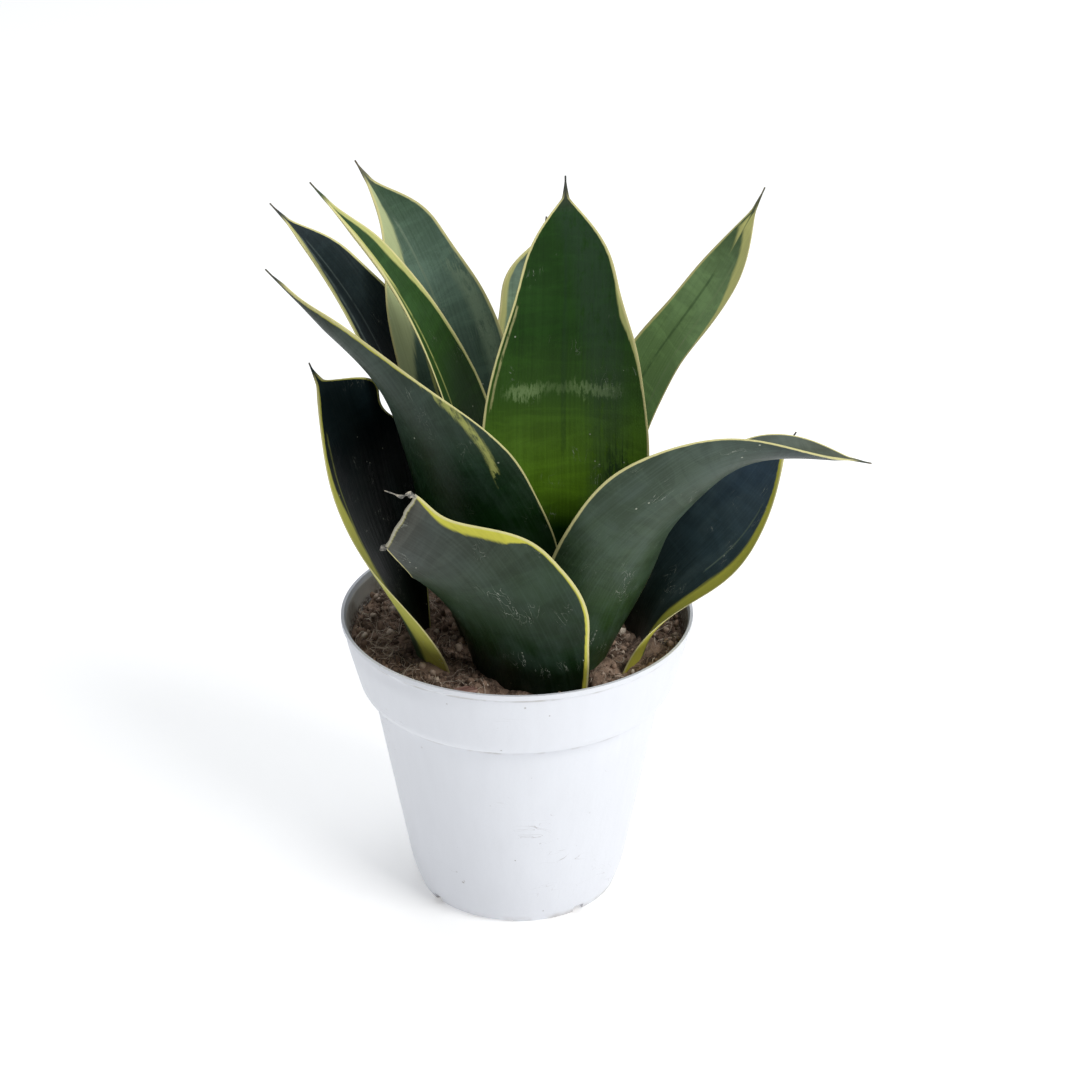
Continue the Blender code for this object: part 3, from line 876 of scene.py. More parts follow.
def rosette() -> list[Blade]:
    """The eleven blades, front ones first.

    Returns:
        Each blade with its finish.
    """
    dark_back: Stops = ((0.0, (0.03, 0.07, 0.02)), (0.4, (0.03, 0.055, 0.04)), (1.0, (0.05, 0.06, 0.045)))
    return [
        Blade("leaf_front", 250,
              ((-1, -34, 0), (-5, -44, 29), (-13, -49, 49), (-26, -51, 67), (-42, -49, 77)),
              (0, -4, 22), (55, 45, 25), 29, foot_share=0.85, widest_at=0.42, cut_share=0.42,
              left=(0.85, 0.85, 0.86, 0.9, 1, 1.03, 1, 0.93, 0.66, 0.6, 1),
              right=(1, 1.13, 1.22, 1.18, 1.03, 0.9),
              finish=LeafFinish(
                  inner=((0.0, (0.03, 0.09, 0.02)), (1.0, (0.05, 0.08, 0.05))),
                  outer=((0.0, (0.022, 0.024, 0.014)), (0.08, (0.004, 0.013, 0.004)),
                         (0.35, (0.003, 0.016, 0.002)), (0.6, (0.026, 0.047, 0.024)),
                         (0.9, (0.062, 0.072, 0.062)), (1.0, (0.08, 0.08, 0.068))),
                  left=((0.0, 2.4), (0.3, 1.7), (0.6, 1.1), (0.69, 1.2), (0.725, 4.4), (0.8, 3.8),
                        (0.9, 2.2), (1.0, 0.8)),
                  right=((0.0, 0.8), (0.6, 0.7), (1.0, 0.7)),
                  bloom=0.2, scuffs=0.7, cut_end=True)),
        Blade("leaf_left_low", 155,
              ((-35, -10, 0), (-42, -10, 25), (-53, -6, 52), (-62, -2, 82), (-72, 2, 111)),
              (40, 10, -5), (50, 26, 22), 29, foot_share=0.5,
              left=(1, 1.15, 1.2, 1.1, 0.98, 0.9, 0.92, 1, 1, 1, 1),
              right=(1, 1, 1, 1, 1.05, 1.2, 1.4, 1.6, 1.95, 3.5, 1),
              finish=LeafFinish(
                  # painted shade: the inner face's dark green is darkened to near black for the shade
                  # between the crowded leaves
                  inner=((0.0, (0.01, 0.014, 0.004)), (0.2, (0.002, 0.005, 0.003)),
                         (0.7, (0.002, 0.005, 0.006)), (0.9, (0.006, 0.013, 0.015)),
                         (0.985, (0.03, 0.05, 0.05)), (1.0, DRY)),
                  outer=dark_back,
                  left=((0.0, 10.0), (0.2, 13.0), (0.45, 13.0), (0.55, 11.0), (0.65, 6.5), (0.76, 2.6),
                        (1.0, 0.6)),
                  right=((0.0, 1.0), (0.7, 0.6), (0.9, 1.4), (1.0, 0.8)),
                  margin=(0.42, 0.42, 0.08),
                  streaks=(
                      Streak((0.0, 0.5), (-0.8, -0.88), 1.2, (0.03, 0.06, 0.008), 0.7),
                      Streak((0.2, 0.8), (-0.42, -0.6), 1.0, (0.25, 0.27, 0.06), 0.5),
                  ), bloom=0.05, gloss=0.1)),
        Blade("leaf_right_low", 30,
              ((37, -8, 0), (43, -4, 25), (60, -1, 45), (77, 3, 65), (89, 6, 84)),
              (-34, 0, 0), (43, 35, 25), 29, foot_share=0.6,
              left=(1, 1, 1, 1, 1, 1, 1, 1, 1.2, 2, 1),
              finish=LeafFinish(
                  # painted shade and reflection: the lower inner face is dark green darkened for the shade
                  # behind the right arched leaf, and the blue-grey towards the tip paints the sky's
                  # reflection
                  inner=((0.0, (0.004, 0.007, 0.005)), (0.3, (0.009, 0.018, 0.017)),
                         (0.6, (0.028, 0.05, 0.062)), (0.85, (0.045, 0.075, 0.11)),
                         (0.98, (0.04, 0.06, 0.065)), (1.0, DRY)),
                  outer=dark_back,
                  left=((0.0, 0.8), (0.5, 0.8), (1.0, 0.8)),
                  right=((0.0, 11.0), (0.3, 12.0), (0.5, 10.0), (0.65, 6.5), (0.8, 3.4), (0.92, 1.6),
                         (1.0, 0.6)),
                  gloss=0.2,
                  streaks=(
                      Streak((0.45, 0.75), (0.35, 0.5), 0.7, (0.12, 0.16, 0.12), 0.7),
                      Streak((0.0, 0.5), (0.8, 0.88), 1.0, (0.04, 0.07, 0.01), 0.6),
                  ), bloom=0.25)),
        Blade("leaf_right_arched", 330,
              ((13, -26, 0), (23, -34, 42), (35, -37, 64), (51, -36, 80), (68, -32, 90),
               (88, -26, 91), (112, -18, 84)),
              (-40, -35, -20, -10), (50, 45, 50, 40), 23, foot_share=0.5, widest_at=0.5,
              left=(1, 1.1, 1.2, 1.2, 1.1, 1, 1, 1, 1, 1, 1),
              right=(1, 1, 1, 1, 1.05, 1.17, 1.12, 1, 1, 1, 1),
              finish=LeafFinish(
                  inner=((0.0, (0.03, 0.09, 0.02)), (0.7, (0.06, 0.08, 0.06)),
                         (1.0, (0.1, 0.11, 0.08))),
                  outer=((0.0, (0.016, 0.04, 0.005)), (0.25, (0.022, 0.05, 0.014)),
                         (0.45, (0.045, 0.072, 0.043)), (0.7, (0.056, 0.078, 0.06)),
                         (0.82, (0.026, 0.036, 0.036)), (0.985, (0.02, 0.027, 0.03)),
                         (1.0, (0.35, 0.27, 0.2))),
                  left=((0.0, 0.8), (0.3, 0.8), (0.7, 0.5), (1.0, 0.4)),
                  right=((0.0, 1.3), (0.4, 0.9), (0.7, 0.5), (0.9, 0.8), (1.0, 0.5)),
                  margin=CREAM, bloom=0.35, scuffs=0.8)),
        Blade("leaf_left_arched", 215,
              ((-13, -13, 0), (-19, -20, 48), (-33, -21, 83), (-50, -16, 114),
               (-67, -8, 129), (-85, 0, 145)),
              (20, 24, -6, -15), (55, 52, 60, 60), 31, foot_share=0.5, widest_at=0.33, taper=1.7,
              left=(1, 1, 1, 1, 1.05, 1.22, 1.22, 1.1, 1.6, 2.3, 1),
              right=(1, 1, 1, 1, 1, 1.1, 1.4, 1.35, 1.6, 2.3, 1),
              finish=LeafFinish(
                  inner=((0.0, (0.03, 0.08, 0.02)), (0.6, (0.05, 0.08, 0.06)), (1.0, (0.1, 0.12, 0.1))),
                  outer=((0.0, (0.006, 0.022, 0.002)), (0.2, (0.014, 0.045, 0.004)),
                         (0.35, (0.004, 0.022, 0.002)), (0.5, (0.010, 0.030, 0.012)),
                         (0.75, (0.055, 0.075, 0.06)), (0.97, (0.06, 0.07, 0.06)), (1.0, DRY)),
                  left=((0.0, 0.5), (0.6, 0.5), (0.75, 1.2), (1.0, 0.6)),
                  right=((0.0, 2.5), (0.45, 2.2), (0.7, 2.0), (0.8, 1.0), (1.0, 0.6)),
                  streaks=(
                      Streak((0.46, 0.64), (-0.74, -0.97), 2.2, (0.36, 0.38, 0.11), 0.85, 7.0, Face.OUTER),
                  ),
                  bloom=0.2, scuffs=0.3)),
        Blade("leaf_left_back", 155,
              ((-26, 25, 0), (-26, 25, 39), (-37, 28, 76), (-56, 33, 115), (-86, 40, 152)),
              (10, 0, 0), (45, 35, 30), 21, taper=0.95,
              right=(1, 1, 1, 1, 1, 1, 1, 1.1, 1.25, 1.6, 1),
              finish=LeafFinish(
                  # painted shade: the inner face's dark green is darkened to near black where it lies in
                  # the shade of the left arched leaf
                  inner=((0.0, (0.002, 0.004, 0.003)), (0.5, (0.003, 0.007, 0.008)),
                         (0.85, (0.012, 0.022, 0.024)), (0.97, (0.03, 0.04, 0.045)), (1.0, DRY)),
                  outer=dark_back,
                  left=((0.0, 2.5), (0.55, 2.4), (0.75, 3.4), (0.9, 2.0), (1.0, 0.8)),
                  right=((0.0, 1.2), (0.6, 1.0), (1.0, 0.6)),
                  margin=(0.42, 0.42, 0.17),
                  streaks=(
                      Streak((0.5, 0.92), (-0.62, -0.5), 1.6, (0.12, 0.15, 0.14), 0.7),
                      Streak((0.6, 0.9), (-0.2, 0.0), 0.6, (0.1, 0.13, 0.12), 0.5),
                  ), bloom=0.1, gloss=0.12)),
        Blade("leaf_centre", 90,
              ((5, -1, 0), (11, -1, 47), (11, 1, 91), (12, 5, 136), (12, 11, 173)),
              (0,), (50, 30, 20), 28, foot_share=0.4, taper=0.8,
              left=(1, 1, 1, 1, 1, 1, 0.98, 0.95, 1, 1.2, 1),
              right=(1, 1, 1, 1, 1.06, 1.08, 1.08, 1.1, 1.15, 1.4, 1),
              finish=LeafFinish(
                  # painted shade and light: the foot is near black for the shade between the arched leaves,
                  # and the band above it is paler young green brightened as painted light glowing through
                  # the blade
                  inner=((0.0, (0.003, 0.010, 0.001)), (0.30, (0.003, 0.020, 0.001)),
                         (0.38, (0.10, 0.21, 0.010)), (0.48, (0.085, 0.18, 0.016)),
                         (0.58, (0.035, 0.095, 0.010)), (0.7, (0.010, 0.046, 0.002)),
                         (0.93, (0.012, 0.045, 0.006)), (0.965, (0.05, 0.055, 0.04)),
                         (1.0, (0.05, 0.05, 0.045))),
                  outer=((0.0, (0.04, 0.11, 0.02)), (0.5, (0.03, 0.065, 0.035)),
                         (1.0, (0.06, 0.08, 0.05))),
                  left=((0.0, 0.9), (0.5, 0.8), (1.0, 0.6)),
                  right=((0.0, 0.8), (0.58, 0.7), (0.66, 1.2), (0.74, 2.6), (0.8, 1.0), (1.0, 0.6)),
                  margin=(0.42, 0.44, 0.16),
                  streaks=(
                      Streak((0.575, 0.595), (-0.5, -0.5), 13.0, PALE_GREEN, 0.8, 4.0),
                      Streak((0.58, 0.6), (0.4, 0.4), 15.0, PALE_GREEN, 0.75, 4.0),
                      Streak((0.584, 0.598), (-0.05, -0.05), 14.0, PALE_GREEN, 0.3, 3.0),
                      # painted shadow: a dark patch low on the right side, where the right arched leaf
                      # shades it
                      Streak((0.15, 0.45), (0.62, 0.62), 11.0, (0.006, 0.025, 0.002), 0.8, 14.0),
                      Streak((0.56, 0.76), (-0.92, -0.9), 0.6, CREAM, 0.5),
                      Streak((0.45, 0.95), (0.02, 0.0), 1.2, DEEP_GREEN, 0.35),
                      Streak((0.2, 0.95), (0.5, 0.55), 14.0, (0.035, 0.06, 0.045), 0.35, 10.0),
                  ), haze=(0.07, 0.10, 0.06), banding=0.22, bloom=0.05, scuffs=0.5)),
        Blade("leaf_back_left", 112,
              ((-7, 29, 0), (-15, 33, 56), (-27, 37, 92), (-38, 43, 126), (-58, 51, 163)),
              (0,), (50, 40, 30), 22, foot_share=0.4,
              left=(1, 1, 1, 1, 1, 1, 1, 1.1, 1, 0.7, 1),
              right=(1, 1, 1, 1, 1, 1, 1.1, 1.2, 1.4, 1.9, 1),
              finish=LeafFinish(
                  # painted shadow: the inner face is near black up to about a third of its length, where
                  # the narrow left leaf's shadow falls on it
                  inner=((0.0, (0.002, 0.004, 0.002)), (0.36, (0.003, 0.008, 0.003)),
                         (0.52, (0.07, 0.12, 0.085)), (0.75, (0.11, 0.18, 0.13)),
                         (0.93, (0.045, 0.09, 0.045)), (1.0, DRY)),
                  outer=dark_back,
                  left=((0.0, 1.5), (0.45, 2.5), (0.56, 7.0), (0.68, 12.0), (0.8, 8.0), (0.9, 2.4),
                        (1.0, 0.7)),
                  right=((0.0, 1.0), (0.45, 2.5), (0.6, 1.0), (1.0, 0.7)),
                  margin=(0.44, 0.50, 0.26),
                  streaks=(
                      Streak((0.35, 0.8), (-0.35, -0.3), 0.9, STRAW, 0.7),
                      Streak((0.3, 0.7), (-0.1, -0.05), 0.7, STRAW, 0.6),
                      Streak((0.5, 0.86), (0.2, 0.1), 0.7, (0.16, 0.22, 0.15), 0.6),
                      Streak((0.4, 0.74), (0.74, 0.8), 6.0, (0.22, 0.3, 0.2), 0.7, 12.0),
                      Streak((0.6, 0.9), (-0.3, -0.25), 0.6, CREAM, 0.5),
                  ), bloom=0.3)),
        Blade("leaf_left_narrow", 180,
              ((-12, 7, 0), (-17, 12, 63), (-27, 12, 98), (-45, 14, 134), (-71, 18, 168)),
              (-20, -15, -15), (50, 25, 15), 17, foot_share=0.5, taper=1.1,
              left=(1, 1, 1, 1, 1, 0.9, 0.6, 0.35, 0.25, 0.45, 1),
              right=(1, 1, 1, 1, 1.05, 1.08, 1.08, 1.15, 1.4, 1.7, 1),
              finish=LeafFinish(
                  inner=((0.0, (0.006, 0.024, 0.002)), (0.4, (0.008, 0.036, 0.002)),
                         (0.6, (0.016, 0.055, 0.004)), (0.8, (0.03, 0.075, 0.02)),
                         (0.97, (0.03, 0.06, 0.03)), (1.0, DRY)),
                  outer=((0.0, (0.03, 0.06, 0.02)), (1.0, (0.06, 0.1, 0.05))),
                  left=((0.0, 1.0), (0.6, 1.0), (0.8, 0.7), (1.0, 0.5)),
                  right=((0.0, 1.2), (0.55, 1.1), (0.7, 1.8), (0.8, 3.6), (0.92, 2.2), (1.0, 0.6)),
                  margin=(0.45, 0.46, 0.16),
                  streaks=(Streak((0.3, 0.9), (-0.3, -0.35), 0.8, STRAW, 0.6),), bloom=0.1)),
        Blade("leaf_right_back", 26,
              ((22, 16, 0), (32, 20, 67), (47, 24, 104), (64, 28, 132), (78, 34, 160)),
              (20, 0, 0), (50, 30, 20), 21, foot_share=0.4, widest_at=0.58,
              left=(1, 1, 1, 1, 1, 0.95, 0.85, 0.75, 0.85, 1, 1),
              right=(1, 1, 1, 0.9, 0.75, 0.65, 0.62, 0.82, 1.3, 1.7, 1),
              finish=LeafFinish(
                  inner=((0.0, (0.12, 0.24, 0.06)), (0.4, (0.18, 0.33, 0.09)), (0.8, (0.20, 0.32, 0.13)),
                         (0.93, (0.07, 0.12, 0.05)), (1.0, DRY)),
                  outer=((0.0, (0.04, 0.08, 0.03)), (1.0, (0.06, 0.09, 0.06))),
                  left=((0.0, 1.2), (0.6, 1.2), (1.0, 0.7)),
                  right=((0.0, 0.7), (0.68, 0.7), (0.76, 3.0), (0.83, 8.0), (0.91, 7.0), (0.95, 0.8),
                         (1.0, 0.6)),
                  margin=(0.62, 0.62, 0.22),
                  streaks=(
                      Streak((0.4, 0.8), (-0.4, -0.2), 1.0, (0.02, 0.06, 0.02), 0.5),
                      Streak((0.45, 0.85), (0.3, 0.35), 0.8, (0.22, 0.3, 0.14), 0.6),
                  ), bloom=0.15)),
        Blade("leaf_back", 100,
              ((10, 42, 0), (8, 48, 46), (6, 52, 82), (4, 57, 114), (6, 62, 138.5)),
              (0,), (50, 25, 20), 22, foot_share=0.4, taper=0.85,
              left=(1, 1, 1, 1, 1, 1, 1, 1.1, 1.3, 1.8, 1),
              finish=LeafFinish(
                  inner=((0.0, (0.03, 0.06, 0.03)), (0.55, (0.26, 0.38, 0.2)), (0.7, (0.24, 0.36, 0.21)),
                         (0.85, (0.17, 0.25, 0.18)), (0.97, (0.03, 0.05, 0.04)), (1.0, DRY)),
                  outer=dark_back,
                  left=((0.0, 3.0), (0.5, 5.0), (0.75, 3.0), (1.0, 0.8)),
                  right=((0.0, 2.0), (0.6, 2.5), (1.0, 0.8)),
                  margin=(0.50, 0.50, 0.20),
                  streaks=(Streak((0.4, 0.85), (-0.3, -0.15), 1.4, CREAM, 0.7),), bloom=0.2)),
    ]


@dataclass(frozen=True)
class Shred:
    """A withered ribbon of leaf left hanging at a cut end.

    path holds its points in mm from where it starts, width its widths along it, and turns how often it
    twists round on the way.
    """

    name: str
    path: tuple[Point, ...]
    width: tuple[float, ...]
    turns: float
    thickness: float = 0.35
    stations: int = 60
    ring: int = 12

    def skin(self, start: np.ndarray) -> Skin:
        """A flat tube carried along the path, turning as it goes.

        Args:
            start: Its first point in mm.

        Returns:
            The skin, closed at both ends.
        """
        share = np.linspace(0, 1, self.stations)
        keys = np.linspace(0, 1, len(self.path))
        middle = natural_spline(keys, np.array(self.path, float), share) + start
        forward = np.gradient(middle, axis=0)
        forward /= np.linalg.norm(forward, axis=1)[:, None]
        first = np.cross(forward, (0.0, 0.0, 1.0))
        first /= np.linalg.norm(first, axis=1)[:, None]
        second = np.cross(first, forward)
        turn = (share * self.turns * 2 * np.pi)[:, None]
        flat = first * np.cos(turn) + second * np.sin(turn)
        up = np.cross(flat, forward)
        half = np.interp(share, np.linspace(0, 1, len(self.width)), self.width)[:, None] / 2
        angle = np.linspace(0, 2 * np.pi, self.ring, endpoint=False)[None, :]
        x = -np.cos(angle) * half
        z = np.sin(angle) * np.minimum(self.thickness / 2, half)
        x = x * (1 + 0.18 * lattice_noise(np.stack((share * 30, share, share), axis=-1), 1.0, 3)[:, None])
        points = middle[:, None] + flat[:, None] * x[..., None] + up[:, None] * z[..., None]
        return Skin(points.reshape(-1, 3), tube_faces(self.stations, self.ring))

    def build(self, start: np.ndarray, material: bpy.types.Material) -> bpy.types.Object:
        """Make the shred on the front leaf.

        Args:
            start: Its first point in mm.
            material: Its material.

        Returns:
            The object.
        """
        piece = self.skin(start).to_object(self.name, material)
        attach(piece, BODY)
        return piece


# ----------------------------------------------------------------------------------------------
# Pot
# ----------------------------------------------------------------------------------------------

@dataclass(frozen=True)
class PotPlastic:
    """Thin white moulded plastic, a little blue, with handling marks, soil dusting, and painted shade under
    the lip and collar and on the inner wall's right side.
    """

    white: Colour = (0.79, 0.81, 0.86)
    # soil colour, also used for the painted shade under the lip and the collar
    dust_and_shade: Colour = (0.30, 0.25, 0.19)
    # stain colour of the marks and the soil line, also used for the painted shade on the inner wall
    stain_and_shade: Colour = (0.11, 0.07, 0.04)
    inside: Colour = (0.90, 0.88, 0.85)
    rubbed: Colour = (0.2, 0.21, 0.22)
    rubbed_x: float = 45.0
    rubbed_z: float = 47.0
    # where the painted shade on the inner wall starts, in mm along x
    inner_shade_x: float = 5.0

    def material(self, pot: Pot) -> bpy.types.Material:
        """Dress the pot: white, greyer and stained inside with painted shade towards its right, dusty and
        with painted shade under the lip and collar, few scuffs.

        Args:
            pot: The pot, whose sizes place the dirt.

        Returns:
            The material.
        """
        shop = PaintShop("white_pot_plastic")
        place = shop.position()
        x, _, z = shop.parts(place)
        cloud = shop.noise(place, 0.03, detail=3.0)
        streaky = shop.noise(place, (0.25, 0.25, 0.025), detail=3.0)
        fine = shop.noise(place, 0.9, detail=4.0, rough=0.65)
        colour = shop.shade(self.white, 0.98 + (cloud - 0.5) * 0.07 + (streaky - 0.5) * 0.05)
        # painted shade and dust: the lines under the lip and the collar are shade as well as dirt; the line
        # at the foot is dirt
        lip_line = abs(z - (pot.height - pot.lip_height - 0.4)).fall(0.2, 0.9)
        collar_line = abs(z - (pot.height - pot.collar_height - 0.6)).fall(0.3, 1.6)
        foot_line = z.fall(0.2, 3.5)
        patchy = shop.noise(place, 0.09, detail=3.0, rough=0.6)
        seams = (lip_line * 0.5).most(collar_line * 0.55).most(foot_line * 0.5)
        seam_shade_and_dust = seams * patchy.rise(0.42, 0.66)
        colour = shop.mix(seam_shade_and_dust, colour, self.dust_and_shade)
        specks = shop.cells(place, 0.16).fall(0.04, 0.075) * shop.noise(place, 0.07).rise(0.5, 0.6)
        blots = shop.noise(place, 0.16, detail=4.0, rough=0.7).rise(0.71, 0.76)
        line = abs(shop.noise(place, (0.05, 0.05, 0.14), detail=3.0, twist=1.2) - 0.5).fall(0.0008, 0.004)
        scuffs = line * shop.noise(place, 0.035, detail=2.0).rise(0.56, 0.66)
        handled = (specks * 0.55).most(blots * 0.7).most(scuffs * 0.35)
        colour = shop.mix(handled, colour, self.stain_and_shade)
        side_mark = x.rise(self.rubbed_x, self.rubbed_x + 2) * abs(z - self.rubbed_z).fall(5.0, 10.0)
        colour = shop.mix(side_mark * fine.rise(0.5, 0.6) * 0.6, colour, self.rubbed)
        inner_face = shop.mark("inside")
        wall = shop.mix(shop.noise(place, 0.07, detail=4.0).rise(0.5, 0.68) * 0.6, self.inside, self.dust_and_shade)
        low = z.fall(pot.height - 9.0, pot.height - 6.0)
        wall = shop.mix(low * fine.rise(0.35, 0.6), wall, self.stain_and_shade)
        # painted shade: the inner wall darkens towards +x, the side that lies in shade
        inner_wall_shade = x.rise(self.inner_shade_x, self.inner_shade_x + 35) * fine.rise(0.2, 0.55)
        wall = shop.mix(inner_wall_shade * 0.8, wall, self.stain_and_shade)
        colour = shop.mix(inner_face, colour, wall)
        rough = 0.4 + (fine - 0.5) * 0.12 + seam_shade_and_dust * 0.3 + handled * 0.25 + inner_face * 0.2
        relief = shop.noise(place, 0.55, detail=3.0) * 0.5 + streaky * 0.5
        return shop.finish(colour, rough, relief, 0.12, Specular_IOR_Level=0.5)


@dataclass(frozen=True)
class Pot:
    """The nursery pot: a tapered body, a collar with a bevelled foot, a rolled lip and a drained floor.

    Sizes are those of the CAD node, in mm.
    """

    height: float = 104.0
    rim_radius: float = 60.0
    wall: float = 1.0
    floor: float = 1.6
    base_radius: float = 33.6
    heel_radius: float = 37.0
    heel_height: float = 8.2
    collar_height: float = 26.4
    collar_step: float = 1.2
    collar_bevel: float = 3.0
    collar_taper: float = 5.0
    lip_overhang: float = 0.9
    lip_height: float = 1.8
    drains: int = 4
    recess_angle: float = -118.5
    recess_width: float = 30.0
    recess_depth: float = 0.8
    recess_inner: float = 19.0
    hole_radius: float = 3.6
    hole_circle: float = 25.0
    notch_angle: float = -52.5
    notch_width: float = 4.0
    notch_depth: float = 3.0
    sides: int = 288

    def outer_line(self) -> list[tuple[float, float, float]]:
        """Outer side from the lip to the base, as radius, height and the corner's rounding in mm."""
        foot = self.height - self.collar_height
        collar = self.rim_radius - self.lip_overhang
        bevel = collar - self.collar_taper
        body = bevel - self.collar_bevel - self.collar_step
        return [
            (self.rim_radius - 0.1, self.height, 0.45),
            (self.rim_radius, self.height - self.lip_height, 0.5),
            (collar - 0.1, self.height - self.lip_height - 0.35, 0.5),
            (collar - 0.16 * self.collar_taper, self.height - 0.3 * self.collar_height, 3.0),
            (bevel, foot + self.collar_bevel, 1.0),
            (bevel - 0.35 * self.collar_bevel, foot + 0.3 * self.collar_bevel, 0.8),
            (bevel - self.collar_bevel, foot, 0.2),
            (body, foot, 0.3),
            (self.heel_radius, self.heel_height, 4.0),
            (self.base_radius + 0.5, 0.35, 0.4),
            (self.base_radius - 0.8, 0.0, 0.3),
        ]

    def inner_line(self) -> list[tuple[float, float, float]]:
        """Inner side from the floor up to the lip, a wall's thickness inside the outer one."""
        lip, _, _, collar, bevel, _, foot, body, heel, _, _ = self.outer_line()
        wall = self.wall
        return [
            (self.base_radius - 0.6 * wall, self.floor, 0.5),
            (heel[0] - wall, heel[1] + 0.3, 3.0),
            (body[0] - wall, body[1] + 0.4 * wall, 0.3),
            (foot[0] - wall, foot[1] + wall, 0.3),
            (bevel[0] - wall, bevel[1] + 0.6 * wall, 1.0),
            (collar[0] - wall, collar[1], 3.0),
            (lip[0] - wall - 0.9, self.height - self.lip_height, 0.6),
            (lip[0] - wall, self.height, 0.35),
        ]

    def skin(self) -> Skin:
        """The profile turned round the axis.

        Each corner of the profile becomes a short quadratic arc. Points turn on circles, closed at both
        poles by fans; the mark "inside" is 1 on the inner side.

        Returns:
            The skin.
        """
        inner = rounded_line(self.inner_line())
        outer = rounded_line(self.outer_line())
        profile = np.concatenate((inner, outer))
        inside = np.concatenate((np.ones(len(inner) - 2), np.zeros(len(outer) + 2)))
        return turned_skin(profile, self.sides, self.floor, 0.0, inside)

    def _drain_cutters(self) -> list[bpy.types.Object]:
        """Boxes for the recesses and notches and rods for the holes, about the axis.

        Returns:
            The cutter objects.
        """
        reach = self.heel_radius + 4 - self.recess_inner
        cutters = []
        for k in range(self.drains):
            turn = 360 / self.drains * k
            recess = math.radians(self.recess_angle + turn)
            notch = math.radians(self.notch_angle + turn)
            cutters.append(self._box((reach, self.recess_width, 2 * self.recess_depth),
                                     self.recess_inner + reach / 2, recess))
            cutters.append(self._box((reach / 2, self.notch_width, 2 * self.notch_depth),
                                     self.base_radius + reach / 4 - 2, notch))
            work = bmesh.new()
            bmesh.ops.create_cone(work, cap_ends=True, segments=24, radius1=self.hole_radius * MM,
                                  radius2=self.hole_radius * MM, depth=4 * self.floor * MM)
            cutters.append(self._cutter("drain_rod", work, self.hole_circle, recess))
        return cutters

    def _box(self, size: Point, out: float, angle: float) -> bpy.types.Object:
        """A box of a size in mm whose middle lies out along an angle in radians."""
        work = bmesh.new()
        bmesh.ops.create_cube(work, size=1.0)
        bmesh.ops.scale(work, vec=Vector(size) * MM, verts=work.verts)
        box = self._cutter("drain_box", work, out, angle)
        box.rotation_euler.z = angle
        return box

    @staticmethod
    def _cutter(name: str, work: bmesh.types.BMesh, out: float, angle: float) -> bpy.types.Object:
        """Make a cutter of a finished shape, out along an angle.

        Args:
            name: Name of the object and of its mesh.
            work: The shape, which is freed.
            out: Distance from the axis in mm.
            angle: Angle about the axis in radians.

        Returns:
            The cutter.
        """
        mesh = bpy.data.meshes.new(name)
        work.to_mesh(mesh)
        work.free()
        cutter = bpy.data.objects.new(name, mesh)
        cutter.location = (out * math.cos(angle) * MM, out * math.sin(angle) * MM, 0)
        return cutter

    def build(self) -> bpy.types.Object:
        """Turn the pot, cut its drains and dress it.

        Returns:
            The object.
        """
        pot = self.skin().to_object("nursery_pot", PotPlastic().material(self))
        group = bpy.data.collections.new("drain_cutters")
        bpy.context.scene.collection.children.link(group)
        for cutter in self._drain_cutters():
            group.objects.link(cutter)
        cut = pot.modifiers.new("Drains", "BOOLEAN")
        cut.operation = "DIFFERENCE"
        cut.solver = "EXACT"
        cut.operand_type = "COLLECTION"
        cut.collection = group
        graph = bpy.context.evaluated_depsgraph_get()
        mesh = bpy.data.meshes.new_from_object(pot.evaluated_get(graph))
        pot.modifiers.clear()
        pot.data = mesh
        for cutter in list(group.objects):
            bpy.data.objects.remove(cutter, do_unlink=True)
        bpy.data.collections.remove(group)
        mesh.set_sharp_from_angle(angle=math.radians(40))
        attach(pot, BODY)
        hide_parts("pot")
        return pot


def rounded_line(corners: list[tuple[float, float, float]]) -> np.ndarray:
    """Round each corner of a line with a quadratic arc that starts its rounding away from the corner.

    Args:
        corners: Radius, height and rounding of each corner; the two ends stay sharp.

    Returns:
        Points of the line.
    """
    places = np.array([corner[:2] for corner in corners], float)
    share = np.linspace(0, 1, 6)[:, None]
    pieces = [places[:1]]
    for before, at, after, corner in zip(places, places[1:], places[2:], corners[1:-1]):
        back = before - at
        ahead = after - at
        reach = min(corner[2], 0.45 * np.linalg.norm(back), 0.45 * np.linalg.norm(ahead))
        start = at + back / np.linalg.norm(back) * reach
        end = at + ahead / np.linalg.norm(ahead) * reach
        pieces.append((1 - share) ** 2 * start + 2 * share * (1 - share) * at + share ** 2 * end)
    pieces.append(places[-1:])
    return np.concatenate(pieces)


def turned_skin(profile: np.ndarray, sides: int, first_pole: float, last_pole: float,
                inside: np.ndarray) -> Skin:
    """Turn a profile of radius and height round the Z axis and close it with a fan at each pole.

    Args:
        profile: Points that run up the inner side and down the outer one.
        sides: Points in each circle.
        first_pole: Height of the pole that closes the first circle.
        last_pole: Height of the pole that closes the last circle.
        inside: Mark for each point of the profile.

    Returns:
        The closed skin with the mark "inside".
    """
    angle = np.linspace(0, 2 * np.pi, sides, endpoint=False)
    circle = np.stack((np.cos(angle), np.sin(angle)), axis=-1)
    rows = len(profile)
    flat = profile[:, None, :1] * circle[None]
    rise = np.broadcast_to(profile[:, None, 1:], (rows, sides, 1))
    ring = np.concatenate((flat, rise), axis=-1).reshape(-1, 3)
    points = np.concatenate((ring, [(0, 0, first_pole), (0, 0, last_pole)]))
    quads = strip_faces(rows, sides, True)[:, ::-1]
    faces = [tuple(face) for face in quads.tolist()]
    top = rows * sides
    last = (rows - 1) * sides
    faces += [(top, j, (j + 1) % sides) for j in range(sides)]
    faces += [(top + 1, last + (j + 1) % sides, last + j) for j in range(sides)]
    marks = {"inside": np.concatenate((np.repeat(inside, sides), (inside[0], inside[-1])))}
    return Skin(points, faces, marks)


# ----------------------------------------------------------------------------------------------
# Soil
# ----------------------------------------------------------------------------------------------

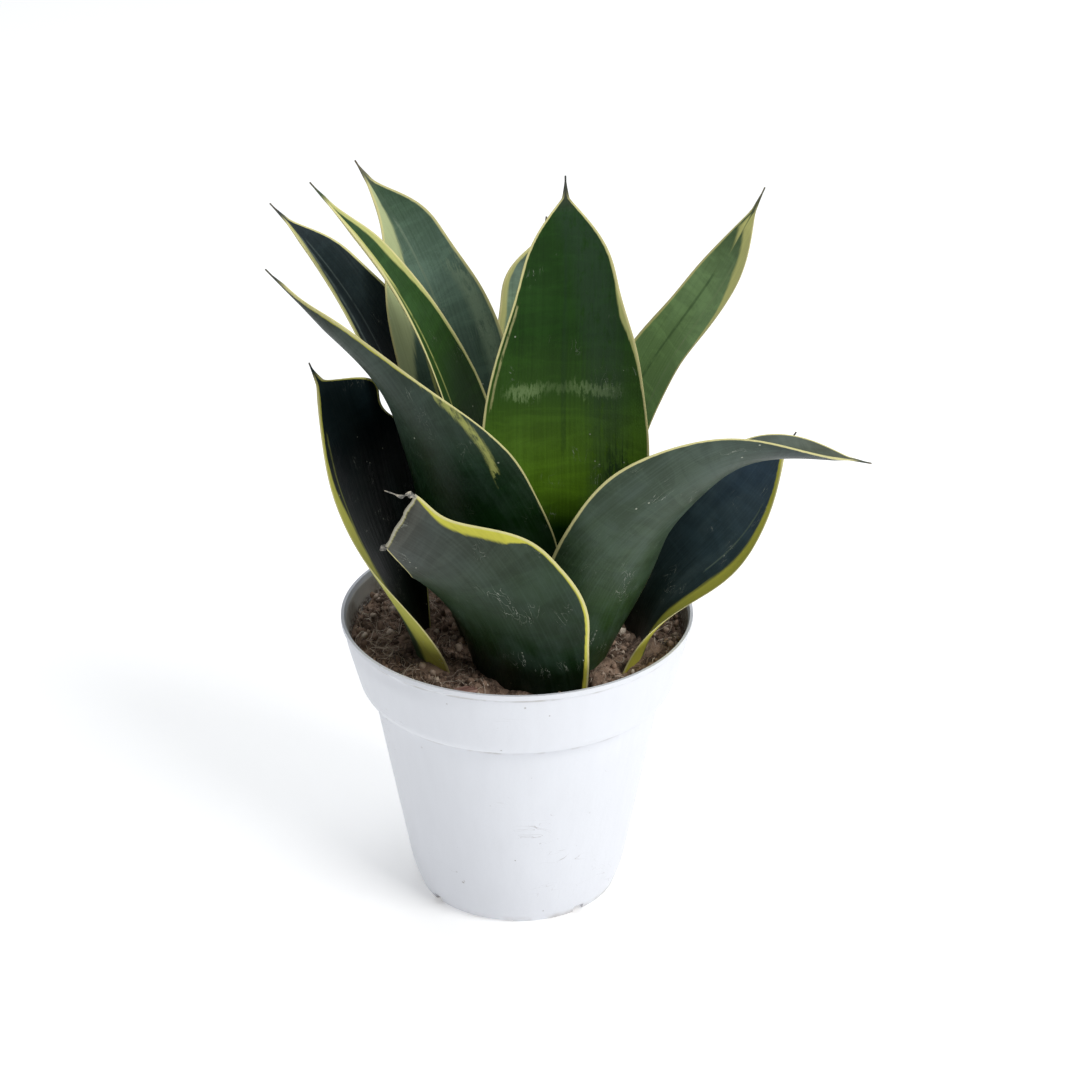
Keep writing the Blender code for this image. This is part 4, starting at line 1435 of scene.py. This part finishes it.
@dataclass(frozen=True)
class CoirFinish:
    """Coarse coir and peat: dark brown grounds with paler fibres, more or less dry."""

    dark: Colour = (0.085, 0.055, 0.038)
    brown: Colour = (0.38, 0.26, 0.19)
    dry: Colour = (0.70, 0.59, 0.48)
    palest: Colour = (0.78, 0.68, 0.56)

    def ground(self) -> bpy.types.Material:
        """The matted ground.

        Returns:
            The material.
        """
        shop = PaintShop("coir_ground")
        place = shop.position()
        clump = shop.noise(place, 0.22, detail=4.0, rough=0.65)
        strand = shop.noise(place, (1.6, 0.5, 1.0), detail=4.0, rough=0.7, twist=2.5)
        colour = shop.mix(clump.rise(0.36, 0.64), self.dark, self.brown)
        colour = shop.mix(strand.rise(0.55, 0.72) * 0.7, colour, self.dry)
        relief = strand * 0.6 + shop.noise(place, 1.4, detail=4.0, rough=0.7) * 0.4
        return shop.finish(colour, 0.9 + (clump - 0.5) * 0.1, relief, 0.9, Specular_IOR_Level=0.25)

    def tinted(self, name: str) -> bpy.types.Material:
        """Crumbs or fibres, each of its own tone by the mark "tint".

        Args:
            name: Name of the material.

        Returns:
            The material.
        """
        shop = PaintShop(name)
        tint = shop.mark("tint")
        place = shop.position()
        grain = shop.noise(place, 1.8, detail=3.0, rough=0.7)
        stops: Stops = ((0.0, self.dark), (0.45, self.brown), (0.8, self.dry), (1.0, self.palest))
        colour = shop.shade(shop.ramp(tint, stops), 0.7 + grain * 0.6)
        return shop.finish(colour, 0.88 + (grain - 0.5) * 0.15, grain, 0.3, Specular_IOR_Level=0.3)


@dataclass(frozen=True)
class Soil:
    """The soil: a closed body with a clumpy top, crumbs and coir fibres that lie on it."""

    pot: Pot
    level: float = 95.0
    gap: float = 0.35
    lump: float = 0.9
    clumps: int = 420
    clump_radii: tuple[float, float] = (1.8, 6.5)
    crumbs: int = 1500
    crumb_swell: float = 1.3
    least_crumb: float = 0.2
    fibres: int = 3000
    fibre_lengths: tuple[float, float] = (2.5, 11.0)
    fibre_radii: tuple[float, float] = (0.07, 0.2)
    rings: int = 130
    sides: int = 420

    def reach(self) -> float:
        """Radius of the soil's top, just inside the pot's wall."""
        line = np.array([corner[:2] for corner in self.pot.inner_line()])
        return float(np.interp(self.level, line[:, 1], line[:, 0])) - self.gap

    def surface(self, x: np.ndarray, y: np.ndarray) -> np.ndarray:
        """Height of the soil's top.

        Broad waves, then domes: each clump adds height times the root of 1 - (distance / radius)^2, and
        the highest dome counts; then two sizes of rough noise.

        Args:
            x: Places in mm.
            y: Places in mm.

        Returns:
            Heights in mm.
        """
        rng = np.random.default_rng(11)
        wave = (np.sin(0.21 * x + 1.1) * np.sin(0.19 * y + 0.4)
                + 0.6 * np.sin(0.43 * x - 0.31 * y) + 0.4 * np.sin(0.37 * x + 0.52 * y + 2))
        far = self.reach() * np.sqrt(rng.uniform(0, 1, self.clumps))
        turn = rng.uniform(0, 2 * np.pi, self.clumps)
        size = rng.uniform(*self.clump_radii, self.clumps)
        dome = np.zeros(x.shape)
        for cx, cy, radius in zip(far * np.cos(turn), far * np.sin(turn), size):
            near = 1 - ((x - cx) ** 2 + (y - cy) ** 2) / radius ** 2
            dome = np.maximum(dome, 0.5 * radius * np.sqrt(np.clip(near, 0, 1)))
        flat = np.stack((x, y, np.zeros_like(x)), axis=-1)
        rough = rough_noise(flat, 2.2, 21, 3) * 0.55
        return self.level - 0.6 + self.lump * wave + dome + rough

    def body(self) -> Skin:
        """The closed body: rings from the middle out over the top, then down the wall and over the floor.

        Returns:
            The skin.
        """
        line = np.array([corner[:2] for corner in self.pot.inner_line()])
        wall = [(r - self.gap, z) for r, z in line[::-1] if z < self.level - 3]
        wall[-1] = (wall[-1][0], self.pot.floor + self.gap)
        reach = self.reach()
        radii = reach * np.linspace(0.004, 1, self.rings)
        top = np.stack((radii, np.full(self.rings, self.level)), axis=-1)
        profile = np.concatenate((top, [(reach, self.level - 3)], wall))
        skin = turned_skin(profile, self.sides, self.level, self.pot.floor + self.gap,
                           np.zeros(len(profile)))
        points = skin.points
        upper = np.abs(points[:, 2] - self.level) < 1e-6
        away = np.hypot(points[upper, 0], points[upper, 1]) / reach
        height = self.surface(points[upper, 0], points[upper, 1])
        points[upper, 2] = height + (self.level - 1.0 - height) * smooth_step(away, 0.97, 1.0)
        return Skin(points, skin.faces, {})

    def _clear_of(self, x: np.ndarray, y: np.ndarray, feet: np.ndarray, room: float) -> np.ndarray:
        """True where a place keeps its distance from every point of the leaves' feet."""
        span = (x[:, None] - feet[None, :, 0]) ** 2 + (y[:, None] - feet[None, :, 1]) ** 2
        return span.min(axis=1) > room ** 2

    def _spread(self, rng: np.random.Generator, count: int, feet: np.ndarray,
                room: float) -> tuple[np.ndarray, np.ndarray]:
        """Random places on the top, clear of the leaves.

        Args:
            rng: Source of random numbers.
            count: How many to try.
            feet: Points of the leaves near the soil, in mm.
            room: Distance kept from them in mm.

        Returns:
            The places that are clear.
        """
        far = (self.reach() - 1.0) * np.sqrt(rng.uniform(0.1, 1, count))
        turn = rng.uniform(0, 2 * np.pi, count)
        x = far * np.cos(turn)
        y = far * np.sin(turn)
        clear = self._clear_of(x, y, feet, room)
        return x[clear], y[clear]

    def crumb_skin(self, feet: np.ndarray) -> Skin:
        """Loose crumbs: each a small ball of rings, stretched and dented at random.

        Args:
            feet: Points of the leaves near the soil, in mm.

        Returns:
            One skin with the mark "tint".
        """
        rng = np.random.default_rng(5)
        x, y = self._spread(rng, self.crumbs, feet, 1.6)
        count = len(x)
        rows, columns = 4, 6
        polar = np.linspace(0.14, 0.86, rows) * np.pi
        angle = np.linspace(0, 2 * np.pi, columns, endpoint=False)
        ball = np.stack((np.sin(polar)[:, None] * np.cos(angle), np.sin(polar)[:, None] * np.sin(angle),
                         np.broadcast_to(np.cos(polar)[:, None], (rows, columns))), axis=-1).reshape(-1, 3)
        size = rng.uniform(0.3, 1.0, (count, 1, 1)) ** 2 * self.crumb_swell + self.least_crumb
        shape = size * rng.uniform(0.6, 1.3, (count, 1, 3)) * rng.uniform(0.75, 1.25, (count, len(ball), 1))
        spin = rng.uniform(0, 2 * np.pi, count)
        turned = turn_flat(ball[None] * shape, spin)
        z = self.surface(x, y) + size[:, 0, 0] * 0.4
        points = turned + np.stack((x, y, z), axis=-1)[:, None]
        quads = strip_faces(rows, columns, True)
        caps = [tuple(range(columns))[::-1], tuple(range((rows - 1) * columns, rows * columns))]
        one = [tuple(face[::-1]) for face in quads.tolist()] + [cap[::-1] for cap in caps]
        faces = [tuple(len(ball) * k + corner for corner in face) for k in range(count) for face in one]
        tint = np.repeat(rng.beta(1.3, 3.0, count), len(ball))
        return Skin(points.reshape(-1, 3), faces, {"tint": tint})

    def fibre_skin(self, feet: np.ndarray) -> Skin:
        """Coir fibres: thin three-sided tubes that curl over the top.

        A fibre starts at a random place, turns steadily as it goes, and arches by a half sine.

        Args:
            feet: Points of the leaves near the soil, in mm.

        Returns:
            One skin with the mark "tint".
        """
        rng = np.random.default_rng(8)
        x, y = self._spread(rng, self.fibres, feet, 3.0)
        count = len(x)
        stations = 7
        share = np.linspace(0, 1, stations)[None, :]
        length = rng.uniform(*self.fibre_lengths, (count, 1))
        start = rng.uniform(0, 2 * np.pi, (count, 1))
        heading = start + rng.normal(0, 1.6, (count, 1)) * share
        step = length / (stations - 1)
        px = x[:, None] + np.cumsum(np.cos(heading), axis=1) * step
        py = y[:, None] + np.cumsum(np.sin(heading), axis=1) * step
        inside = np.hypot(px, py).max(axis=1) < self.reach() - 0.6
        clear = self._clear_of(px.ravel(), py.ravel(), feet, 1.4).reshape(px.shape).all(axis=1)
        keep = inside & clear
        px, py, heading, length = px[keep], py[keep], heading[keep], length[keep]
        count = len(px)
        arch = rng.uniform(0.0, 0.22, (count, 1)) * length * np.sin(np.pi * share)
        lean = rng.normal(0, 0.08, (count, 1)) * length * (share - 0.5)
        pz = self.surface(px, py) + 0.15 + arch + np.abs(lean)
        radius = rng.uniform(*self.fibre_radii, (count, 1)) * (1 - 0.6 * share)
        across = np.stack((-np.sin(heading), np.cos(heading), np.zeros_like(heading)), axis=-1)
        up = np.array((0.0, 0.0, 1.0))
        angle = np.linspace(0, 2 * np.pi, 3, endpoint=False)
        middle = np.stack((px, py, pz), axis=-1)[:, :, None]
        around = (across[:, :, None] * np.cos(angle)[:, None] + up * np.sin(angle)[:, None])
        points = middle + around * radius[:, :, None, None]
        one = [tuple(face) for face in strip_faces(stations, 3, True).tolist()]
        one += [(2, 1, 0), (stations * 3 - 3, stations * 3 - 2, stations * 3 - 1)]
        each = stations * 3
        faces = [tuple(each * k + corner for corner in face) for k in range(count) for face in one]
        tint = np.repeat(rng.beta(2.2, 1.8, count), each)
        return Skin(points.reshape(-1, 3), faces, {"tint": tint})

    def build(self, blades: list[Blade]) -> list[bpy.types.Object]:
        """Make the body, the crumbs and the fibres.

        Args:
            blades: The leaves that stand in the soil.

        Returns:
            The three objects.
        """
        feet = np.concatenate([blade.skin().points for blade in blades])
        feet = feet[(feet[:, 2] > self.level - 3) & (feet[:, 2] < self.level + 4)][::3]
        finish = CoirFinish()
        body = self.body().to_object("soil_body", finish.ground())
        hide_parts("soil")
        crumbs = self.crumb_skin(feet).to_object("soil_crumbs", finish.tinted("soil_crumb"))
        fibres = self.fibre_skin(feet).to_object("coir_fibres", finish.tinted("coir_fibre"))
        for piece in (body, crumbs, fibres):
            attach(piece, BODY)
        return [body, crumbs, fibres]


def turn_flat(points: np.ndarray, angle: np.ndarray) -> np.ndarray:
    """Turn each group of points about Z by its own angle.

    Args:
        points: Groups of rows of coordinates.
        angle: One angle in radians for each group.

    Returns:
        The turned points.
    """
    c = np.cos(angle)[:, None]
    s = np.sin(angle)[:, None]
    x = points[..., 0] * c - points[..., 1] * s
    y = points[..., 0] * s + points[..., 1] * c
    return np.stack((x, y, points[..., 2]), axis=-1)


@dataclass(frozen=True)
class BarkChip:
    """A flat reddish chip of bark on the soil, splintered along its grain."""

    length: float = 8.6
    width: float = 4.8
    thickness: float = 1.5
    turn: float = 25.0
    rows: int = 40
    columns: int = 64

    def skin(self) -> Skin:
        """A squared ball: each sine and cosine keeps its sign and takes a low power; splinters dent it.

        Returns:
            The skin, placed where the CAD chip lies.
        """
        low, high = (np.array(corner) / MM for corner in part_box("bark_chip"))
        polar = np.linspace(-0.5, 0.5, self.rows)[:, None] * np.pi * 0.995
        angle = np.linspace(0, 2 * np.pi, self.columns, endpoint=False)[None, :]
        power = 0.4
        ring = np.abs(np.cos(polar)) ** power
        x = ring * np.sign(np.cos(angle)) * np.abs(np.cos(angle)) ** power * self.length / 2
        y = ring * np.sign(np.sin(angle)) * np.abs(np.sin(angle)) ** power * self.width / 2
        z = np.sign(np.sin(polar)) * np.abs(np.sin(polar)) ** power * self.thickness / 2
        z = np.broadcast_to(z, x.shape)
        points = np.stack((x, y, z), axis=-1)
        grain = rough_noise(points * (0.25, 1.2, 1.0), 0.9, 31)
        splinter = rough_noise(points * (0.02, 1.6, 0.6), 0.8, 37)
        shrink = 1 - 0.06 * np.clip(np.abs(grain), 0, 1) - 0.05 * np.clip(np.abs(splinter), 0, 1)
        points = points * np.stack((1 - 0.09 * np.abs(splinter), shrink, 1 - 0.2 * np.abs(grain)), axis=-1)
        points = turn_flat(points.reshape(1, -1, 3), np.array((math.radians(self.turn),)))[0]
        points = points + (low + high) / 2
        faces = [tuple(face) for face in strip_faces(self.rows, self.columns, True).tolist()]
        last = (self.rows - 1) * self.columns
        faces += [tuple(range(self.columns))[::-1], tuple(range(last, last + self.columns))]
        return Skin(points, faces)

    def material(self) -> bpy.types.Material:
        """Red-brown bark with dark pores and pale splinters along the grain.

        Returns:
            The material.
        """
        shop = PaintShop("bark")
        place = shop.node("ShaderNodeMapping", None, {
            "Vector": shop.position(), "Rotation": (0.0, 0.0, -math.radians(self.turn))}).outputs[0]
        grain = shop.noise(place, (0.15, 1.6, 1.6), detail=4.0, rough=0.65)
        stops: Stops = ((0.3, (0.14, 0.06, 0.05)), (0.5, (0.34, 0.19, 0.15)), (0.68, (0.55, 0.40, 0.34)))
        colour = shop.ramp(grain, stops)
        return shop.finish(colour, 0.8 + (grain - 0.5) * 0.2, grain, 0.4)

    def build(self) -> bpy.types.Object:
        """Make the chip.

        Returns:
            The object.
        """
        chip = self.skin().to_object("soil_bark_chip", self.material())
        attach(chip, BODY)
        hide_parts("bark_chip")
        return chip


@dataclass(frozen=True)
class Rhizome:
    """The buried rootstock: the CAD node keeps its shape and gets the finish of a root."""

    tan: Colour = (0.42, 0.30, 0.16)
    brown: Colour = (0.14, 0.08, 0.04)

    def dress(self) -> None:
        """Give the CAD node ringed, scaly root bark."""
        shop = PaintShop("root_bark")
        place = shop.position()
        rings = shop.noise(place, (0.06, 0.06, 0.8), detail=3.0, rough=0.6)
        scales = shop.noise(place, 0.4, detail=4.0, rough=0.65)
        colour = shop.mix(rings.rise(0.42, 0.6) * 0.7, self.tan, self.brown)
        colour = shop.shade(colour, 0.75 + scales * 0.5)
        material = shop.finish(colour, 0.75 + (scales - 0.5) * 0.3, rings * 0.6 + scales * 0.4, 0.6)
        for holder in frame["nodes"]["rhizome"].material_slots:
            holder.material = material


# ----------------------------------------------------------------------------------------------
# Studio
# ----------------------------------------------------------------------------------------------

@dataclass(frozen=True)
class Studio:
    """Pale floor, soft lamps, even surroundings and the camera."""

    target: Point = (0.0078, 0.0, 0.1307)
    distance: float = 1.2
    elevation: float = 27.0
    lens: float = 118.67
    sensor: float = 36.0
    floor_size: float = 12.0
    paper: Colour = (0.94, 0.94, 0.94)
    glow: float = 0.3
    sky: Colour = (0.93, 0.96, 1.0)
    sky_strength: float = 0.2

    def floor(self) -> None:
        """A wide pale floor."""
        mesh = bpy.data.meshes.new("studio_floor")
        half = self.floor_size / 2
        mesh.from_pydata([(-half, -half, 0), (half, -half, 0), (half, half, 0), (-half, half, 0)], [],
                         [(0, 1, 2, 3)])
        shop = PaintShop("studio_paper")
        mesh.materials.append(shop.finish(self.paper, 0.95, Specular_IOR_Level=0.1,
                                          Emission_Strength=self.glow))
        placed("studio_floor", mesh)

    def lamp(self, name: str, place: Point, size: float, power: float, colour: Colour) -> None:
        """A square soft lamp that faces the plant.

        Args:
            name: Its name.
            place: Where it hangs, in metres.
            size: Length of its side in metres.
            power: Its power in watts.
            colour: Its colour.
        """
        data = bpy.data.lights.new(name, "AREA")
        data.shape = "SQUARE"
        data.size = size
        data.energy = power
        data.color = colour
        lamp = placed(name, data)
        lamp.location = place
        aim = Vector(self.target) - Vector(place)
        lamp.rotation_euler = aim.to_track_quat("-Z", "Y").to_euler()

    def surroundings(self) -> None:
        """Even pale surroundings."""
        world = bpy.data.worlds.new("studio")
        world.use_nodes = True
        inputs = world.node_tree.nodes["Background"].inputs
        inputs["Color"].default_value = (*self.sky, 1.0)
        inputs["Strength"].default_value = self.sky_strength
        bpy.context.scene.world = world

    def camera(self) -> None:
        """The camera, level from side to side and looking down at the plant."""
        data = bpy.data.cameras.new("camera")
        data.lens = self.lens
        data.sensor_width = self.sensor
        camera = placed("camera", data)
        tilt = math.radians(self.elevation)
        back = Vector((0, -math.cos(tilt), math.sin(tilt))) * self.distance
        camera.location = Vector(self.target) + back
        camera.rotation_euler = (math.pi / 2 - tilt, 0, 0)
        bpy.context.scene.camera = camera

    def build(self) -> None:
        """Set up the studio."""
        self.camera()
        self.floor()
        self.surroundings()
        self.lamp("key", (1.15, -1.0, 1.45), 1.1, 27.0, (1.0, 0.99, 0.97))
        self.lamp("top", (0.1, 0.4, 1.9), 1.4, 21.0, (0.96, 0.98, 1.0))
        bpy.context.scene.view_settings.view_transform = "Standard"


# ----------------------------------------------------------------------------------------------
# The whole
# ----------------------------------------------------------------------------------------------

def withered_ends(front: Blade) -> list[bpy.types.Object]:
    """The thread and the flap of dry tissue at the front leaf's cut end.

    Args:
        front: The front blade.

    Returns:
        The two objects.
    """
    shop = PaintShop("withered_leaf")
    place = shop.position()
    grain = shop.noise(place, 0.8, detail=3.0)
    stops: Stops = ((0.35, (0.07, 0.07, 0.06)), (0.5, (0.2, 0.19, 0.17)), (0.66, (0.42, 0.38, 0.3)))
    dry = shop.finish(shop.ramp(grain, stops), 0.75 + (grain - 0.5) * 0.3, grain, 0.3)
    thread = Shred("withered_thread",
                   ((0.5, 0.3, -0.6), (-1.8, -0.6, 0.4), (-3.6, -0.4, -0.5), (-6.0, -0.2, 0.3),
                    (-9.3, 0.2, 1.4)),
                   (2.0, 2.2, 1.4, 0.7, 0.25), 1.2)
    flap = Shred("withered_flap", ((0.8, 0.2, 0.4), (-0.4, -0.8, -0.2), (-1.4, -1.2, -0.9)),
                 (1.6, 2.2, 0.6), 0.3)
    return [thread.build(front.corner(-0.96), dry), flap.build(front.corner(0.97), dry)]


def main() -> None:
    """Build the studio, the pot, the soil, the leaves and the loose bits, and report each."""
    Studio().build()
    pot = Pot()
    blades = rosette()
    made = [pot.build()]
    made += Soil(pot).build(blades)
    made += [blade.build() for blade in blades]
    made += withered_ends(blades[0])
    made.append(BarkChip().build())
    Rhizome().dress()
    for piece in made:
        log.info("%s: %d faces", piece.name, len(piece.data.polygons))


if __name__ == "__main__":
    logging.basicConfig(level=logging.INFO, format="%(message)s")
    main()
